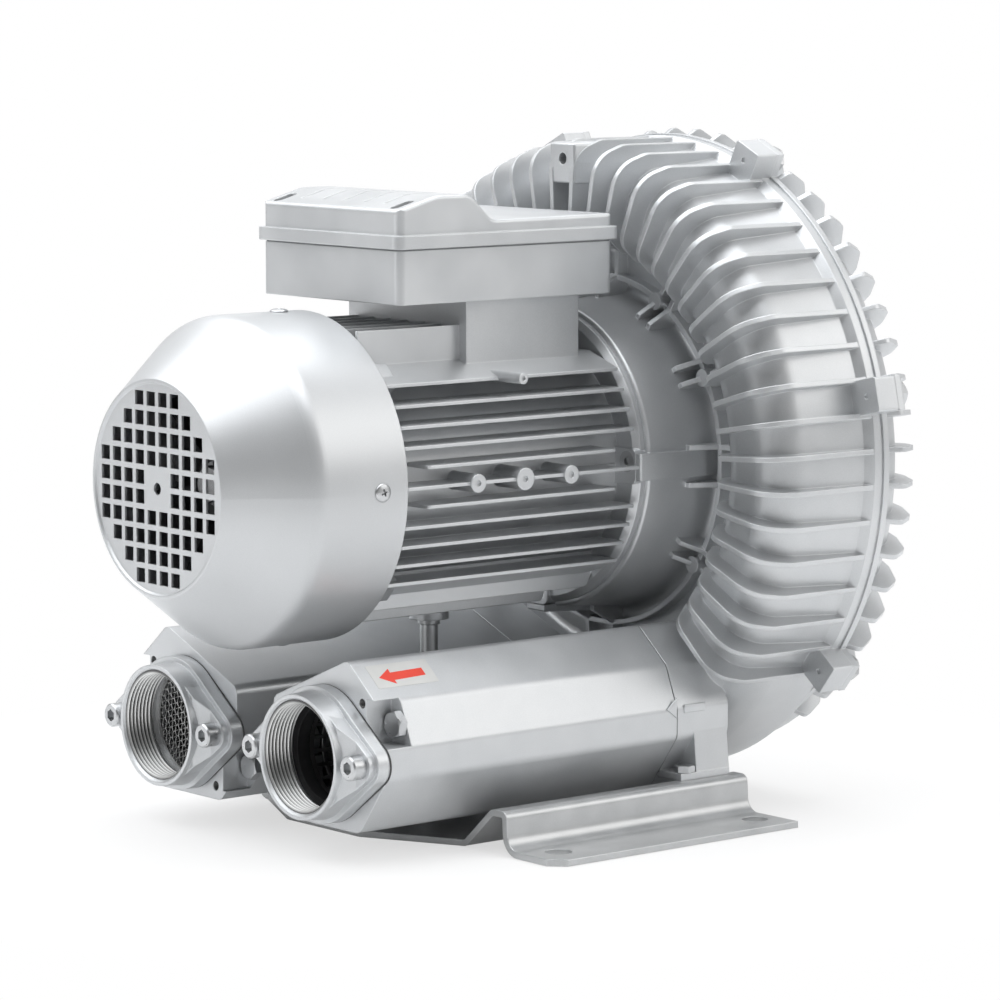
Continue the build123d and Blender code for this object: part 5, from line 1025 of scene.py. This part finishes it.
def label_ink():
    made, tree, shader = new_material("label_ink")
    skin = grouped(tree, SPRAY_GRAIN, grain_size=0.0005, wave_size=0.008, wave_share=0.5)
    colour = blend_colours(tree, skin["Tone"], (0.78, 0.045, 0.022), (0.86, 0.070, 0.036))
    tree.links.new(colour, shader.inputs["Base Color"])
    tree.links.new(spread(tree, skin["Fleck"], 0.3, 0.7, 0.35, 0.5), shader.inputs["Roughness"])
    return made


LABEL_FRONT_Y = -152.0
LABEL_BACK_Y = -112.0
LABEL_TOP = 5.4
LABEL_BOTTOM = 21.4
PAPER_LIFT = 0.01
PAPER_THICKNESS = 0.12
# Along the machine and down the slope, from the tip round the shaft
ARROW = (
    (-147.7, 14.2), (-138.9, 8.9), (-138.9, 11.6), (-117.8, 10.9),
    (-117.8, 16.0), (-138.9, 16.9), (-138.9, 19.6),
)


def flow_label():
    outline = rounded_outline(LABEL_FRONT_Y, LABEL_BACK_Y, LABEL_TOP, LABEL_BOTTOM, 0.8)
    plate("flow_label", outline, on_slope(PAPER_LIFT), PAPER_THICKNESS, label_paper())
    plate("flow_label_arrow", ARROW, on_slope(PAPER_LIFT + PAPER_THICKNESS), 0.03, label_ink())


flow_label()


DUCT_SIDE_X = PORT_X + 50.0
MARK_SINK = 0.2
MARK_THICKNESS = 0.75
MARK_BEVEL = 0.3
# Along the machine and up
MARK_HEAD = ((32.8, 63.6), (40.2, 57.9), (40.2, 69.3))
MARK_TAIL = ((45.5, 60.4), (61.0, 60.4), (61.0, 65.0), (45.5, 65.0))


def on_duct_side(y, z, height):
    return Vector((DUCT_SIDE_X - MARK_SINK + height, y, z)) * MM


def flow_mark():
    """Raised arrow cast across the seam between silencer and casing."""
    for name, outline in (("flow_mark_head", MARK_HEAD), ("flow_mark_tail", MARK_TAIL)):
        plate(name, outline, on_duct_side, MARK_THICKNESS, FINISHES["painted_casting"], bevel=MARK_BEVEL)


flow_mark()


# Light, ground and camera

# Where the bright backdrop stands, seen from the machine
BACKDROP = Vector((-0.35, 0.90, 0.25))
ROOM_FRONT_LEVEL = 0.06
ROOM_BACK_LEVEL = 0.84


def white_world():
    """White to the camera; a room with a bright backdrop and a darker front to the machine."""
    world = bpy.data.worlds.new("studio")
    bpy.context.scene.world = world
    world.use_nodes = True
    tree = world.node_tree
    tree.nodes.clear()
    path = add(tree, "ShaderNodeLightPath").outputs
    way = add(tree, "ShaderNodeTexCoord").outputs["Generated"]
    towards = add(
        tree, "ShaderNodeVectorMath", {0: way, 1: BACKDROP.normalized()}, operation="DOT_PRODUCT"
    ).outputs["Value"]
    level = spread(tree, towards, -1.0, 1.0, ROOM_FRONT_LEVEL, ROOM_BACK_LEVEL)
    seen = maths(tree, "MAXIMUM", path["Is Camera Ray"], path["Is Transmission Ray"])
    strength = maths(tree, "MAXIMUM", level, seen)
    ground = add(tree, "ShaderNodeBackground", {"Color": (1.0, 1.0, 1.0, 1.0), "Strength": strength})
    output = add(tree, "ShaderNodeOutputWorld")
    tree.links.new(ground.outputs[0], output.inputs[0])


# How far from the middle the floor's own shade begins and ends to give way to plain white
SHADE_START = 0.12
SHADE_END = 0.42


def pale_floor():
    """White floor that keeps part of the shade near the machine."""
    floor = solid(
        "floor", lambda shaped: bmesh.ops.create_grid(shaped, x_segments=1, y_segments=1, size=6.0)
    )
    floor.location = (0.0, 0.0, -0.0004)
    made, tree, shader = new_material("pale_floor")
    shader.inputs["Base Color"].default_value = (0.86, 0.86, 0.86, 1.0)
    shader.inputs["Roughness"].default_value = 0.9
    glow = add(tree, "ShaderNodeEmission", {"Color": (1.0, 1.0, 1.0, 1.0), "Strength": 1.0})
    path = add(tree, "ShaderNodeLightPath").outputs
    place = add(tree, "ShaderNodeTexCoord").outputs["Object"]
    away = add(tree, "ShaderNodeVectorMath", {0: place}, operation="LENGTH").outputs["Value"]
    share = spread(tree, away, SHADE_START, SHADE_END, 0.62, 1.0)
    seen = maths(tree, "MAXIMUM", path["Is Camera Ray"], path["Is Transmission Ray"])
    seen = maths(tree, "MAXIMUM", seen, maths(tree, "MULTIPLY", path["Is Glossy Ray"], 0.2))
    mixed = add(tree, "ShaderNodeMixShader", {0: maths(tree, "MULTIPLY", share, seen)})
    tree.links.new(shader.outputs[0], mixed.inputs[1])
    tree.links.new(glow.outputs[0], mixed.inputs[2])
    tree.links.new(mixed.outputs[0], tree.nodes["Material Output"].inputs["Surface"])
    dress(floor, made)


LAMP_TARGET = Vector((0.0, 0.0, 0.18))


def soft_box(name, place, size, energy, tint=(1.0, 1.0, 1.0)):
    lamp = bpy.data.lights.new(name, "AREA")
    lamp.shape = "RECTANGLE"
    lamp.size, lamp.size_y = size
    lamp.energy = energy
    lamp.color = tint
    made = link(bpy.data.objects.new(name, lamp))
    made.location = place
    made.rotation_euler = (LAMP_TARGET - Vector(place)).to_track_quat("-Z", "Y").to_euler()
    made.visible_camera = False


def studio_lights():
    soft_box("overhead", (-0.2, -0.3, 1.8), (2.6, 3.0), 62.0, (0.96, 0.98, 1.0))
    soft_box("right_rear", (1.5, 1.1, 1.2), (1.4, 1.2), 8.0, (1.0, 0.99, 0.97))
    soft_box("front_left", (-0.9, -1.9, 0.5), (1.4, 0.9), 3.0)


CAMERA_PLACE = (1.8599, -1.5359, 0.4607)
CAMERA_AZIMUTH = 50.27
CAMERA_ELEVATION = 6.87
CAMERA_LENS = 157.96


def photo_camera():
    azimuth, elevation = math.radians(CAMERA_AZIMUTH), math.radians(CAMERA_ELEVATION)
    looking = -Vector(
        (
            math.sin(azimuth) * math.cos(elevation),
            -math.cos(azimuth) * math.cos(elevation),
            math.sin(elevation),
        )
    )
    camera = bpy.data.cameras.new("camera")
    camera.sensor_width = 36.0
    camera.lens = CAMERA_LENS
    camera.clip_start = 0.05
    camera.clip_end = 20.0
    made = link(bpy.data.objects.new("camera", camera))
    made.location = CAMERA_PLACE
    made.rotation_euler = looking.to_track_quat("-Z", "Y").to_euler()
    bpy.context.scene.camera = made


white_world()
pale_floor()
studio_lights()
photo_camera()
bpy.context.scene.view_settings.view_transform = "Standard"
